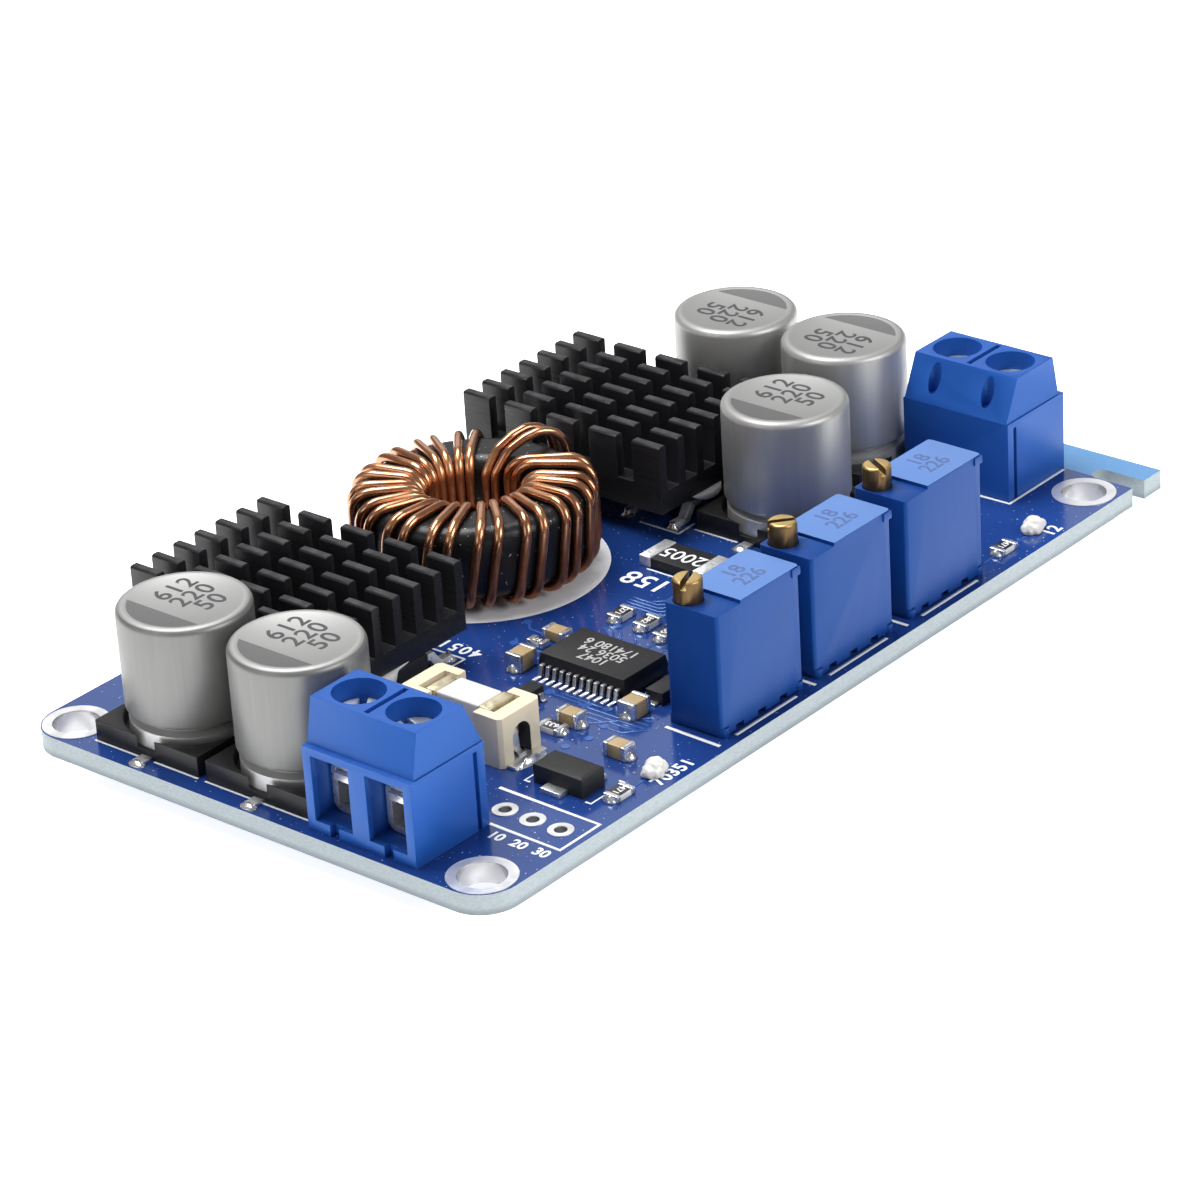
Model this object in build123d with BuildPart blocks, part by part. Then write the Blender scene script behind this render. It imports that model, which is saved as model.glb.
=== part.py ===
from build123d import *
import os
from math import cos, radians, sin

os.makedirs("parts", exist_ok=True)

# Millimetres. The underside of the board is at zero height and the origin lies midway
# between the four mounting holes; +X runs along the board and +Z is up.
board_long = 77.6
board_short = 45.0
board_thick = 1.6
board_corner = 3.0
mount_dia = 3.6
mount_in_x = 2.7
mount_in_y = 2.8
land_dia = 5.1
land_thick = 0.06

# Break-off rail left on the far short edge, parted from the board by a routed slot.
# Its places along the edge, like those of most parts, are counted from the front edge.
rail_gap = 1.66
rail_wide = 2.37
rail_start = 0.04
rail_end = 14.5
slot_end = 4.3

# Row of three plated header holes.
header_x = -28.31
header_in = 4.92
header_pitch = 2.54
header_dia = 1.0
header_land = 1.9

# Everything soldered through the board stands out below by the same amount.
pin_reach = 1.2
hole_play = 0.1

# Pin-fin heatsinks: (centre x, direction of the outer side).
sinks = (("input", -19.65, -1), ("output", 17.8, 1))
sink_width = 14.4
sink_long = 20.1
sink_y = 12.25
sink_base_low = 2.5
sink_base_top = 4.3
sink_top = 8.25
fin_count = 7
fin_thick = 0.84
fin_tip = 0.14
pin_rows = 5
pin_long = 2.77
cut_above_base = 0.45

# Power transistors, four bodies in two pairs, one pair under each heatsink.
fet_deep = 6.1
fet_wide = 6.5
fet_high = 2.3
fet_draft = 0.25
fet_inner = 16.5
fet_spread = 6.45
fet_lead_pitch = 4.57
fet_lead_wide = 0.76
fet_lead_thick = 0.5
fet_lead_high = 1.05
fet_foot_reach = 3.2
fet_tab_wide = 5.3
fet_tab_reach = 1.6

# Toroidal inductor: core, then two enamelled strands wound side by side.
coil_x = -0.15
coil_y = 12.0
core_out = 9.0
core_in = 4.3
core_low = 1.14
core_high = 6.0
core_rim = 1.2
wire_dia = 0.74
wire_sides = 12
wire_gap = 0.03
turns = 13
turn_first = 43.4
turn_step = 23.3
pair_outer = 9.3
pair_inner = 11.65
corner_cut = 1.3
eye_cut = 1.04
lead_in = 354.8
lead_in_inner = 21.5
lead_out = 10.0
last_inner = 350.6
last_spread = 13.4
lead_in_free = 0.22
lead_turn_in = 6.0

# Raised start of the pair, from the outside over the finished turns to the eye: radius,
# degrees past the place where it leaves the board, height above the board.
lead_arch = (
    (9.3, 0.5, 7.6),
    (8.5, 2.5, 8.45),
    (7.4, 5.5, 8.75),
    (6.2, 10.0, 8.45),
    (5.0, 17.5, 7.7),
)

# Surface-mounted electrolytic capacitors: (x, y, direction of the positive side).
capacitors = (
    (-31.95, 11.4, 1),
    (-31.95, 0.3, 1),
    (19.3, -3.4, 1),
    (31.45, 0.05, -1),
    (31.1, 10.7, -1),
)
can_dia = 10.0
can_top = 10.6
can_neck = 8.7
can_flange = 9.6
can_rim = 0.45
can_foot_top = 2.0
can_crimp_low = 2.3
can_crimp_top = 2.75
cup_side = 10.3
cup_floor = 0.65
cup_post = 1.65
cup_cut = 2.2
cup_bore = 10.44
can_lead_wide = 1.0
can_lead_thick = 0.25
can_lead_reach = 1.05

# Two-pole screw terminals: (x, y, direction the wires come from).
terminals = (("input", -34.25, -10.43, -1), ("output", 35.22, -10.78, 1))
pole_offset = 2.54
block_deep = 7.6
block_wide = 10.07
block_high = 10.0
skirt_high = 6.6
skirt_ledge = 0.5
skirt_proud = 0.13
top_front = 2.6
top_back = -2.2
well_x = 0.2
cavity_back = -2.4
cavity_wide = 3.9
cavity_low = 0.8
cavity_top = 6.2
window_wide = 3.5
window_low = 0.9
window_top = 6.0
window_wall = 0.5
cage_wide = 3.6
cage_deep = 3.2
cage_high = 3.9
cage_wall = 0.5
cage_rest = 0.9
bar_top = 4.2
bar_thick = 0.6
bar_wide = 2.4
bar_back = -2.3
bar_front = 2.2
pole_pin_wide = 1.0
clamp_head_dia = 3.7
clamp_head_low = 6.95
clamp_head_high = 1.65
clamp_shank_dia = 2.5
clamp_play = 0.1
clamp_tip_gap = 0.15
clamp_slot = 0.6
almond_dia = 1.1
almond_x = -2.9
almond_low = 7.2

# Square multi-turn trimmers in a row, named by the x of their left end.
trimmers = (-11.79, -0.78, 10.68)
trimmer_slots = (20.0, -41.0, 62.0)
trimmer_long = 9.53
trimmer_deep = 4.83
trimmer_in = 3.605
trimmer_high = 10.0
trimmer_stand = 0.12
trimmer_step = 0.28
trimmer_step_x = 2.75
adjust_in = 1.27
adjust_dia = 2.19
adjust_play = 0.05
adjust_low = 8.3
adjust_top = 11.5
adjust_slot = 0.45
adjust_slot_deep = 0.6
trimmer_pin_dia = 0.5
trimmer_pin_first = 2.06
trimmer_pin_in = 1.1

# Square ceramic fuse in its moulded holder, long side along Y.
fuse_x = -21.85
fuse_in = 16.1
holder_wide = 4.5
holder_long = 9.6
holder_high = 4.0
holder_floor = 1.2
holder_end = 2.5
fuse_side = 2.7
fuse_long = 6.1
fuse_cap = 1.05
fuse_play = 0.08
clip_thick = 0.25
clip_wide = 1.8
clip_gap = 0.3
foot_wide = 3.6
foot_reach = 0.7
arch_wide = 1.9
arch_high = 2.9

# Controller package with twelve gull-wing leads on each long side.
chip_x = -8.75
chip_in = 14.7
chip_wide = 5.1
chip_long = 8.2
chip_stand = 0.1
chip_high = 1.65
chip_draft = 8.0
chip_leads = 12
chip_pitch = 0.65
chip_lead_wide = 0.3
chip_lead_thick = 0.18
chip_span = 7.7
chip_foot = 0.75

# Current-sense resistor.
shunt_x = 8.48
shunt_in = 20.94
shunt_wide = 3.3
shunt_long = 6.35
shunt_high = 0.85
shunt_end = 1.1

# Small two-ended parts: x, distance in from the front edge, 0 when long along X or 90
# along Y, length, width, height.
resistors = (
    (-0.90, 19.53, 0, 2.0, 1.25, 0.55),
    (-0.92, 16.97, 0, 2.0, 1.25, 0.55),
    (-1.45, 14.65, 0, 2.0, 1.25, 0.55),
    (-17.52, 12.25, 90, 2.0, 1.25, 0.5),
    (-22.30, 2.08, 0, 2.0, 1.25, 0.5),
    (24.15, 2.08, 0, 2.0, 1.25, 0.5),
    (-7.81, 21.88, 90, 1.6, 0.85, 0.45),
)
ceramics = (
    (-6.22, 21.32, 90, 2.0, 1.25, 0.85),
    (-11.20, 20.60, 0, 2.0, 1.4, 1.4),
    (-15.95, 11.75, 90, 2.0, 1.25, 1.1),
    (-12.30, 8.90, 0, 2.0, 1.5, 1.3),
    (-17.71, 5.82, 90, 2.0, 1.25, 1.1),
)
chip_end = 0.4
end_proud = 0.04
lights = ((-18.37, 2.03), (28.29, 2.20))
light_long = 2.0
light_wide = 1.25
light_high = 0.75

# Small leaded packages: regulator, three-lead transistor, diode.
reg_x = -22.9
reg_in = 6.15
reg_wide = 2.5
reg_long = 4.5
reg_high = 1.6
tri_x = -15.4
tri_in = 16.7
tri_long = 2.9
tri_wide = 1.3
tri_high = 1.0
diode_x = -8.9
diode_in = 8.75
diode_long = 2.6
diode_wide = 1.6
diode_high = 1.0


def level_plane(x, y, facing=1):
    """Horizontal seat on the board top with its own x turned to +X or -X."""
    return Plane(origin=(x, y, board_thick), x_dir=(facing, 0, 0), z_dir=(0, 0, 1))


def side_plane(x, y, facing=1):
    """Upright seat whose x runs along the facing direction and whose y is up."""
    return Plane(origin=(x, y, board_thick), x_dir=(facing, 0, 0), z_dir=(0, -facing, 0))


def front_plane(x, y, facing=1):
    """Upright seat looking along the facing direction, its y up."""
    return Plane(origin=(x, y, board_thick), x_dir=(0, facing, 0), z_dir=(facing, 0, 0))


def block(seat, x_span, y_span, z_span, mode=Mode.ADD):
    """Square-edged block between limits measured from a seat, joined or cut."""
    with BuildSketch(seat.offset(z_span[0])) as outline:
        with Locations(((x_span[0] + x_span[1]) / 2, (y_span[0] + y_span[1]) / 2)):
            Rectangle(x_span[1] - x_span[0], y_span[1] - y_span[0])
    extrude(outline.sketch, amount=z_span[1] - z_span[0], mode=mode)


def round_bar(seat, spots, dia, z_span, mode=Mode.ADD):
    """Round bars of one diameter at given spots on a seat, joined or cut."""
    with BuildSketch(seat.offset(z_span[0])) as outline:
        with Locations(*spots):
            Circle(dia / 2)
    extrude(outline.sketch, amount=z_span[1] - z_span[0], mode=mode)


def strip(seat, points, width, mode=Mode.ADD):
    """Plate of a given width whose edge outline is drawn on an upright seat."""
    with BuildSketch(seat) as outline:
        with BuildLine():
            Polyline(*points, close=True)
        make_face()
    extrude(outline.sketch, amount=width / 2, both=True, mode=mode)


def gull_wing(inner, reach, exit_low, thick, foot):
    """Edge outline of a lead that leaves a body level, drops and ends in a flat foot."""
    drop = reach - foot
    run = inner + (drop - inner) * 0.45
    return (
        (inner, exit_low),
        (run - thick * 0.3, exit_low),
        (drop - thick, 0),
        (reach, 0),
        (reach, thick),
        (drop, thick),
        (run + thick * 0.7, exit_low + thick),
        (inner, exit_low + thick),
    )


def save(piece, name):
    """Names a finished piece and writes it out."""
    piece.part.label = name
    export_step(piece.part, f"parts/{name}.step")


on_board = level_plane(0, 0)
front_edge = -board_short / 2
trimmer_y = front_edge + trimmer_in
fuse_y = front_edge + fuse_in
chip_y = front_edge + chip_in
mount_x = board_long / 2 - mount_in_x
mount_y = board_short / 2 - mount_in_y
mount_spots = [(x, y) for x in (-mount_x, mount_x) for y in (-mount_y, mount_y)]
header_spots = [(header_x, front_edge + header_in + header_pitch * n) for n in (-1, 0, 1)]

# Terminal pins stand behind the cages, trimmer pins in line near the board edge.
pole_pin_x = bar_back + bar_thick / 2
pole_spots = [
    (x + facing * pole_pin_x, y + side * pole_offset)
    for name, x, y, facing in terminals
    for side in (-1, 1)
]
pole_pin_dia = (pole_pin_wide**2 + bar_thick**2) ** 0.5
trimmer_front = trimmer_y - trimmer_deep / 2
trimmer_spots = [
    (x + trimmer_pin_first + header_pitch * n, trimmer_front + trimmer_pin_in)
    for x in trimmers
    for n in range(3)
]


def on_coil(radius, angle, height):
    """Point at a radius and angle round the inductor, height above the board top."""
    turn = radians(angle)
    x = coil_x + radius * cos(turn)
    y = coil_y + radius * sin(turn)
    return Vector(x, y, board_thick + height)


# One strand is a single wire: up through the board, over into the eye, thirteen turns
# with the sideways advance shared by top, outside and bottom, then down through the board.
def strand_points(side):
    """Corner points of the centre line of strand -0.5 or +0.5 of the pair."""
    outer = side * pair_outer
    inner = side * pair_inner
    run_out = core_out + wire_dia / 2 + wire_gap
    run_in = core_in - wire_dia / 2 - wire_gap
    low = core_low - wire_dia / 2
    high = core_low + core_high + wire_dia / 2 + wire_gap / 3
    below = -board_thick - pin_reach
    start = run_out + lead_in_free
    points = [
        on_coil(start, lead_in + outer, below),
        on_coil(start, lead_in + outer, lead_turn_in),
    ]
    for radius, past, height in lead_arch:
        share = (start - radius) / (start - run_in)
        points.append(on_coil(radius, lead_in + past + outer + (inner - outer) * share, height))
    points += [
        on_coil(run_in, lead_in_inner + inner, lead_turn_in),
        on_coil(run_in, lead_in_inner + inner, low),
    ]
    for turn in range(turns):
        angle = turn_first + turn * turn_step
        drawn = angle + turn_step / 3 + inner
        if turn == turns - 1:
            drawn = last_inner + side * last_spread
        crest_out = on_coil(run_out, angle + outer, high)
        crest_in = on_coil(run_in, drawn, high)
        along = (crest_in - crest_out).normalized()
        points += [
            on_coil(run_out, angle - turn_step / 3 + outer, low),
            on_coil(run_out, angle + outer, high - corner_cut),
            crest_out + along * corner_cut,
            crest_in - along * eye_cut,
            on_coil(run_in, drawn, high - eye_cut),
            on_coil(run_in, drawn, low),
        ]
    points += [
        on_coil(run_out, lead_out + outer, low),
        on_coil(run_out, lead_out + outer, below),
    ]
    return points


strands = {"a": strand_points(-0.5), "b": strand_points(0.5)}
wire_spots = [(p.X, p.Y) for points in strands.values() for p in (points[0], points[-1])]

# Board with the rail on one edge, mounting holes and a hole for every soldered pin.
with BuildPart() as circuit_board:
    with BuildSketch():
        RectangleRounded(board_long, board_short, board_corner)
        rail_reach = rail_gap + rail_wide
        rail_middle = front_edge + (rail_start + rail_end) / 2
        with Locations((board_long / 2 + (rail_reach - board_corner) / 2, rail_middle)):
            Rectangle(rail_reach + board_corner, rail_end - rail_start)
        slot_x = board_long / 2 + rail_gap / 2
        slot_top = slot_end - rail_gap / 2
        with Locations((slot_x, front_edge + slot_top / 2)):
            Rectangle(rail_gap, slot_top, mode=Mode.SUBTRACT)
        with Locations((slot_x, front_edge + slot_top)):
            Circle(rail_gap / 2, mode=Mode.SUBTRACT)
        with Locations(*mount_spots):
            Circle(mount_dia / 2, mode=Mode.SUBTRACT)
        with Locations(*header_spots):
            Circle(header_dia / 2, mode=Mode.SUBTRACT)
        with Locations(*pole_spots):
            Circle(pole_pin_dia / 2 + hole_play, mode=Mode.SUBTRACT)
        with Locations(*trimmer_spots):
            Circle(trimmer_pin_dia / 2 + hole_play, mode=Mode.SUBTRACT)
        with Locations(*wire_spots):
            Circle(wire_dia / 2 + hole_play, mode=Mode.SUBTRACT)
    extrude(amount=board_thick)
save(circuit_board, "circuit_board")

# Plated rings on both faces round the mounting holes and the header holes.
with BuildPart() as mounting_pads:
    for height in (-land_thick, board_thick):
        with BuildSketch(Plane.XY.offset(height)):
            with Locations(*mount_spots):
                Circle(land_dia / 2)
                Circle(mount_dia / 2, mode=Mode.SUBTRACT)
            with Locations(*header_spots):
                Circle(header_land / 2)
                Circle(header_dia / 2, mode=Mode.SUBTRACT)
        extrude(amount=land_thick)
save(mounting_pads, "mounting_pads")

for name, sink_x, outward in sinks:
    # Heatsink: a finned bar cut across into rows of pins, black anodised.
    fin_pitch = (sink_width - fin_thick) / (fin_count - 1)
    with BuildPart() as heatsink:
        with BuildSketch(side_plane(sink_x, sink_y)):
            with Locations((0, (sink_base_low + sink_base_top) / 2)):
                Rectangle(sink_width, sink_base_top - sink_base_low)
            with BuildLine():
                Polyline(
                    (-sink_width / 2, sink_base_top),
                    (-sink_width / 2, sink_top - fin_tip),
                    (-sink_width / 2 + fin_tip, sink_top),
                    (-sink_width / 2 + fin_thick - fin_tip, sink_top),
                    (-sink_width / 2 + fin_thick, sink_top - fin_tip),
                    (-sink_width / 2 + fin_thick, sink_base_top),
                    close=True,
                )
            first_fin = make_face()
            with Locations(*[(fin_pitch * n, 0) for n in range(1, fin_count)]):
                add(first_fin)
        extrude(amount=sink_long / 2, both=True)
        row_gap = (sink_long - pin_rows * pin_long) / (pin_rows - 1)
        with BuildSketch(level_plane(sink_x, sink_y).offset(sink_base_top + cut_above_base)):
            row_pitch = pin_long + row_gap
            with GridLocations(0, row_pitch, 1, pin_rows - 1):
                Rectangle(sink_width + 1, row_gap)
        extrude(amount=sink_top, mode=Mode.SUBTRACT)
    save(heatsink, f"heatsink_{name}")

    fet_x = outward * (fet_inner + fet_deep / 2)
    fet_seats = [
        level_plane(fet_x, sink_y - 0.05 + row * fet_spread, -outward) for row in (-1, 1)
    ]
    # Transistor bodies, drafted above the parting line.
    with BuildPart() as mosfets:
        for seat in fet_seats:
            block(seat, (-fet_deep / 2, fet_deep / 2), (-fet_wide / 2, fet_wide / 2), (0, fet_high))
        chamfer(mosfets.faces().sort_by(Axis.Z)[-2:].edges(), fet_draft)
    save(mosfets, f"mosfets_{name}")

    # Two formed leads and the heat tab of each transistor.
    with BuildPart() as mosfet_leads:
        for seat in fet_seats:
            for side in (-1, 1):
                lead_y = seat.origin.Y + side * fet_lead_pitch / 2
                points = gull_wing(
                    fet_deep / 2, fet_deep / 2 + fet_foot_reach, fet_lead_high, fet_lead_thick, 1.1
                )
                strip(side_plane(fet_x, lead_y, -outward), points, fet_lead_wide)
            tab = (-fet_deep / 2 - fet_tab_reach, -fet_deep / 2)
            block(seat, tab, (-fet_tab_wide / 2, fet_tab_wide / 2), (0, fet_lead_thick))
    save(mosfet_leads, f"mosfet_leads_{name}")

    # Adhesive that holds the heatsink on the transistors, with a squeezed-out bead.
    with BuildPart() as thermal_bond:
        seat = level_plane(fet_x, sink_y)
        half = fet_spread + fet_wide / 2 - 0.35
        across = (-fet_deep / 2 + 0.3, fet_deep / 2 - 0.3)
        block(seat, across, (-half, half), (fet_high, sink_base_low))
        front = fet_spread + fet_wide / 2 + 0.05
        bead = level_plane(fet_x, sink_y - front - 0.3)
        block(bead, (-1.6, 1.6), (-0.3, 0.3), (sink_base_low - 0.65, sink_base_low))
        chamfer(thermal_bond.edges().filter_by(Axis.Z).sort_by(Axis.Y)[:2], 0.25)
    save(thermal_bond, f"thermal_bond_{name}")

# Toroidal core with bevelled rims.
with BuildPart() as inductor_core:
    with BuildSketch(Plane.XY.offset(board_thick + core_low)):
        with Locations((coil_x, coil_y)):
            Circle(core_out)
            Circle(core_in, mode=Mode.SUBTRACT)
    extrude(amount=core_high)
    chamfer(inductor_core.edges().filter_by(GeomType.CIRCLE), core_rim)
save(inductor_core, "inductor_core")

for letter, points in strands.items():
    # Winding strand, swept as one wire from board hole to board hole.
    with BuildPart() as winding_strand:
        with BuildLine():
            Polyline(*points)
        with BuildSketch(Plane(origin=points[0], z_dir=(0, 0, 1))):
            RegularPolygon(wire_dia / 2, wire_sides)
        sweep(transition=Transition.RIGHT)
    save(winding_strand, f"winding_strand_{letter}")

for number, (x, y, positive) in enumerate(capacitors, 1):
    # Aluminium can: rolled foot, crimped neck, straight wall and bevelled rim.
    with BuildPart() as capacitor_can:
        with BuildSketch(side_plane(x, y, positive)):
            with BuildLine():
                Polyline(
                    (0, cup_floor),
                    (can_flange / 2, cup_floor),
                    (can_flange / 2, can_foot_top),
                    (can_neck / 2, can_crimp_low),
                    (can_dia / 2, can_crimp_top),
                    (can_dia / 2, can_top - can_rim),
                    (can_dia / 2 - can_rim, can_top),
                    (0, can_top),
                    close=True,
                )
            make_face()
        revolve(axis=Axis((x, y, 0), (0, 0, 1)))
    save(capacitor_can, f"capacitor_can_{number}")

    # Moulded base: plate with two cut corners on the positive side and four corner posts.
    with BuildPart() as capacitor_base:
        with BuildSketch(level_plane(x, y, positive)) as base_outline:
            Rectangle(cup_side, cup_side)
            chamfer(base_outline.vertices().sort_by(Axis((0, 0, 0), (positive, 0, 0)))[-2:], cup_cut)
        extrude(amount=cup_post)
        round_bar(level_plane(x, y), [(0, 0)], cup_bore, (cup_floor, cup_post), Mode.SUBTRACT)
    save(capacitor_base, f"capacitor_base_{number}")

# Flat tinned leads at both sides of every capacitor.
with BuildPart() as capacitor_leads:
    for x, y, positive in capacitors:
        for side in (-1, 1):
            seat = level_plane(x, y, side)
            reach = (cup_side / 2, cup_side / 2 + can_lead_reach)
            block(seat, reach, (-can_lead_wide / 2, can_lead_wide / 2), (0, can_lead_thick))
save(capacitor_leads, "capacitor_leads")

cage_number = 0
terminal_bars = []
for name, x, y, facing in terminals:
    seat = level_plane(x, y, facing)
    front = block_deep / 2
    # Terminal housing: stepped front, sloping back, a screw well and a wire window
    # for each pole, each window opening into the cavity its cage rises in.
    with BuildPart() as terminal_housing:
        profile = (
            (-front, 0),
            (front, 0),
            (front, skirt_high),
            (front - skirt_ledge, skirt_high),
            (top_front, block_high),
            (top_back, block_high),
            (-front, skirt_high),
        )
        strip(side_plane(x, y, facing), profile, block_wide)
        above = (skirt_high, block_high)
        for side in (-1, 1):
            edge = sorted((side * block_wide / 2, side * (block_wide / 2 - skirt_proud)))
            block(seat, (-front, front), edge, above, Mode.SUBTRACT)
        poles = [(well_x, -pole_offset), (well_x, pole_offset)]
        well = clamp_head_dia + 2 * clamp_play
        round_bar(seat, poles, well, (clamp_head_low - 0.05, block_high), Mode.SUBTRACT)
        neck = clamp_shank_dia + 2 * clamp_play
        round_bar(seat, poles, neck, (cavity_top, clamp_head_low), Mode.SUBTRACT)
        almonds = [(almond_x, -pole_offset), (almond_x, pole_offset)]
        round_bar(seat, almonds, almond_dia, (almond_low, block_high), Mode.SUBTRACT)
        groove = (top_back + 0.3, top_front - 0.3)
        block(seat, groove, (-0.22, 0.22), (block_high - 0.5, block_high), Mode.SUBTRACT)
        for side in (-1, 1):
            pole = seat.offset(0)
            pole.origin = seat.origin + seat.y_dir * side * pole_offset
            half = cavity_wide / 2
            inside = (cavity_back, front - window_wall)
            block(pole, inside, (-half, half), (cavity_low, cavity_top), Mode.SUBTRACT)
            half = window_wide / 2
            opening = (front - window_wall, front)
            block(pole, opening, (-half, half), (window_low, window_top), Mode.SUBTRACT)
            block(pole, (front - 0.6, front), (-0.42, 0.42), (0, window_low), Mode.SUBTRACT)
            half = pole_pin_wide / 2
            slot = (bar_back, bar_back + bar_thick)
            block(pole, slot, (-half, half), (0, cavity_low), Mode.SUBTRACT)
        rib_side = -facing
        rib = sorted((rib_side * block_wide / 2, rib_side * (block_wide / 2 - 0.45)))
        block(seat, (-front + 0.75, -front + 1.15), rib, (0, skirt_high - 0.5), Mode.SUBTRACT)
    save(terminal_housing, f"terminal_housing_{name}")

    for side in (-1, 1):
        cage_number += 1
        pole_y = y + facing * side * pole_offset
        # Rising cage: a bent strap ring with a threaded hole through its top.
        with BuildPart() as terminal_cage:
            cage_seat = front_plane(x + facing * (well_x - cage_deep / 2), pole_y, facing)
            with BuildSketch(cage_seat) as ring:
                with Locations((0, cage_rest + cage_high / 2)):
                    Rectangle(cage_wide, cage_high)
                fillet(ring.vertices().group_by(Axis.Z)[0], 0.8)
                with Locations((0, cage_rest + cage_high / 2)):
                    Rectangle(cage_wide - 2 * cage_wall, cage_high - 2 * cage_wall, mode=Mode.SUBTRACT)
            extrude(amount=cage_deep)
            spot = [(well_x, 0)]
            thread = clamp_shank_dia + clamp_play
            top_wall = (cage_rest + cage_high - cage_wall, cage_rest + cage_high)
            round_bar(level_plane(x, pole_y, facing), spot, thread, top_wall, Mode.SUBTRACT)
        save(terminal_cage, f"terminal_cage_{cage_number}")

        # Clamp screw: slotted head in the well, shank through the cage to the bar.
        with BuildPart() as terminal_screw:
            screw_seat = level_plane(x + facing * well_x, pole_y, facing)
            tip = bar_top + clamp_tip_gap
            round_bar(screw_seat, [(0, 0)], clamp_shank_dia, (tip, clamp_head_low))
            head = (clamp_head_low, clamp_head_low + clamp_head_high)
            round_bar(screw_seat, [(0, 0)], clamp_head_dia, head)
            chamfer(terminal_screw.edges().group_by(Axis.Z)[-1], 0.2)
            slot_low = (clamp_head_low + clamp_head_high - 0.8, clamp_head_low + clamp_head_high)
            with BuildSketch(screw_seat.offset(slot_low[0])):
                Rectangle(clamp_head_dia + 1, clamp_slot, rotation=35 * cage_number)
            extrude(amount=1, mode=Mode.SUBTRACT)
        save(terminal_screw, f"terminal_screw_{cage_number}")
        terminal_bars.append((x, pole_y, facing))

# Contact bars: each runs through its cage, turns down and ends as a board pin.
with BuildPart() as terminal_contacts:
    for x, y, facing in terminal_bars:
        seat = level_plane(x, y, facing)
        half = bar_wide / 2
        block(seat, (bar_back, bar_front), (-half, half), (bar_top - bar_thick, bar_top))
        half = pole_pin_wide / 2
        leg = (bar_back, bar_back + bar_thick)
        block(seat, leg, (-half, half), (-board_thick - pin_reach, bar_top - bar_thick))
save(terminal_contacts, "terminal_contacts")

trimmer_half = trimmer_deep / 2
for number, (x, slot_angle) in enumerate(zip(trimmers, trimmer_slots), 1):
    seat = level_plane(x, trimmer_y)
    adjust = (adjust_in, trimmer_half - adjust_in)
    # Trimmer body: stepped top, corner feet, three pin notches along the front edge.
    with BuildPart() as trimmer_body:
        across = (-trimmer_half, trimmer_half)
        block(seat, (0, trimmer_long), across, (trimmer_stand, trimmer_high))
        fillet(trimmer_body.edges().filter_by(Axis.Z), 0.3)
        top = (trimmer_high - trimmer_step, trimmer_high)
        block(seat, (0, trimmer_step_x), across, top, Mode.SUBTRACT)
        feet = [
            (place, side * (trimmer_half - 0.28))
            for place in (0.45, trimmer_long - 0.45)
            for side in (-1, 1)
        ]
        round_bar(seat, feet, 0.9, (0, 0.75))
        nub = (trimmer_long - 0.9, trimmer_long)
        proud = (-trimmer_half - 0.12, -trimmer_half + 0.5)
        block(seat, nub, proud, (trimmer_high - 0.7, trimmer_high - 0.1))
        for n in range(3):
            notch_x = trimmer_pin_first + header_pitch * n
            notch = (notch_x - 0.45, notch_x + 0.45)
            inward = (-trimmer_half, -trimmer_half + trimmer_pin_in + 0.5)
            block(seat, notch, inward, (trimmer_stand, 0.5), Mode.SUBTRACT)
        bore = adjust_dia + 2 * adjust_play
        round_bar(seat, [adjust], bore, (adjust_low - adjust_play, trimmer_high), Mode.SUBTRACT)
    save(trimmer_body, f"trimmer_body_{number}")

    # Adjusting screw, slotted brass.
    with BuildPart() as trimmer_screw:
        round_bar(seat, [adjust], adjust_dia, (adjust_low, adjust_top))
        chamfer(trimmer_screw.edges().group_by(Axis.Z)[-1], 0.14)
        with BuildSketch(seat.offset(adjust_top - adjust_slot_deep)):
            with Locations(adjust):
                Rectangle(adjust_dia + 1, adjust_slot, rotation=slot_angle)
        extrude(amount=1, mode=Mode.SUBTRACT)
    save(trimmer_screw, f"trimmer_screw_{number}")

# Nine trimmer pins, seated in the bodies and standing through the board.
with BuildPart() as trimmer_pins:
    for spot in trimmer_spots:
        round_bar(on_board, [spot], trimmer_pin_dia, (-board_thick - pin_reach, 0.5))
save(trimmer_pins, "trimmer_pins")

fuse_seat = level_plane(fuse_x, fuse_y)
holder_half = holder_long / 2
pocket = fuse_side / 2 + fuse_play
pocket_end = fuse_long / 2 + clip_thick + clip_gap
# Fuse holder: two end blocks on a floor, a pocket for the fuse and an arch at each end.
with BuildPart() as fuse_holder:
    half = holder_wide / 2
    block(fuse_seat, (-half, half), (-holder_half, holder_half), (0, holder_high))
    chamfer(fuse_holder.edges().filter_by(Axis.Z), 0.3)
    middle = holder_half - holder_end
    upper = (holder_floor, holder_high)
    block(fuse_seat, (-half, half), (-middle, middle), upper, Mode.SUBTRACT)
    block(fuse_seat, (-pocket, pocket), (-pocket_end, pocket_end), upper, Mode.SUBTRACT)
    for side in (-1, 1):
        arch_seat = Plane(
            origin=(fuse_x, fuse_y + side * holder_half, board_thick),
            x_dir=(side, 0, 0),
            z_dir=(0, -side, 0),
        )
        with BuildSketch(arch_seat):
            with Locations((0, (arch_high - arch_wide / 2) / 2)):
                Rectangle(arch_wide, arch_high - arch_wide / 2)
            with Locations((0, arch_high - arch_wide / 2)):
                Circle(arch_wide / 2)
        extrude(amount=holder_half - pocket_end, mode=Mode.SUBTRACT)
        span = sorted((side * (fuse_long / 2 - 0.3), side * pocket_end))
        under = (-arch_wide / 2, arch_wide / 2)
        block(fuse_seat, under, span, (0, holder_floor), Mode.SUBTRACT)
    block(fuse_seat, (half - 0.75, half), (-middle, -middle + 1.1), (holder_floor, 3.3))
save(fuse_holder, "fuse_holder")

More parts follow.
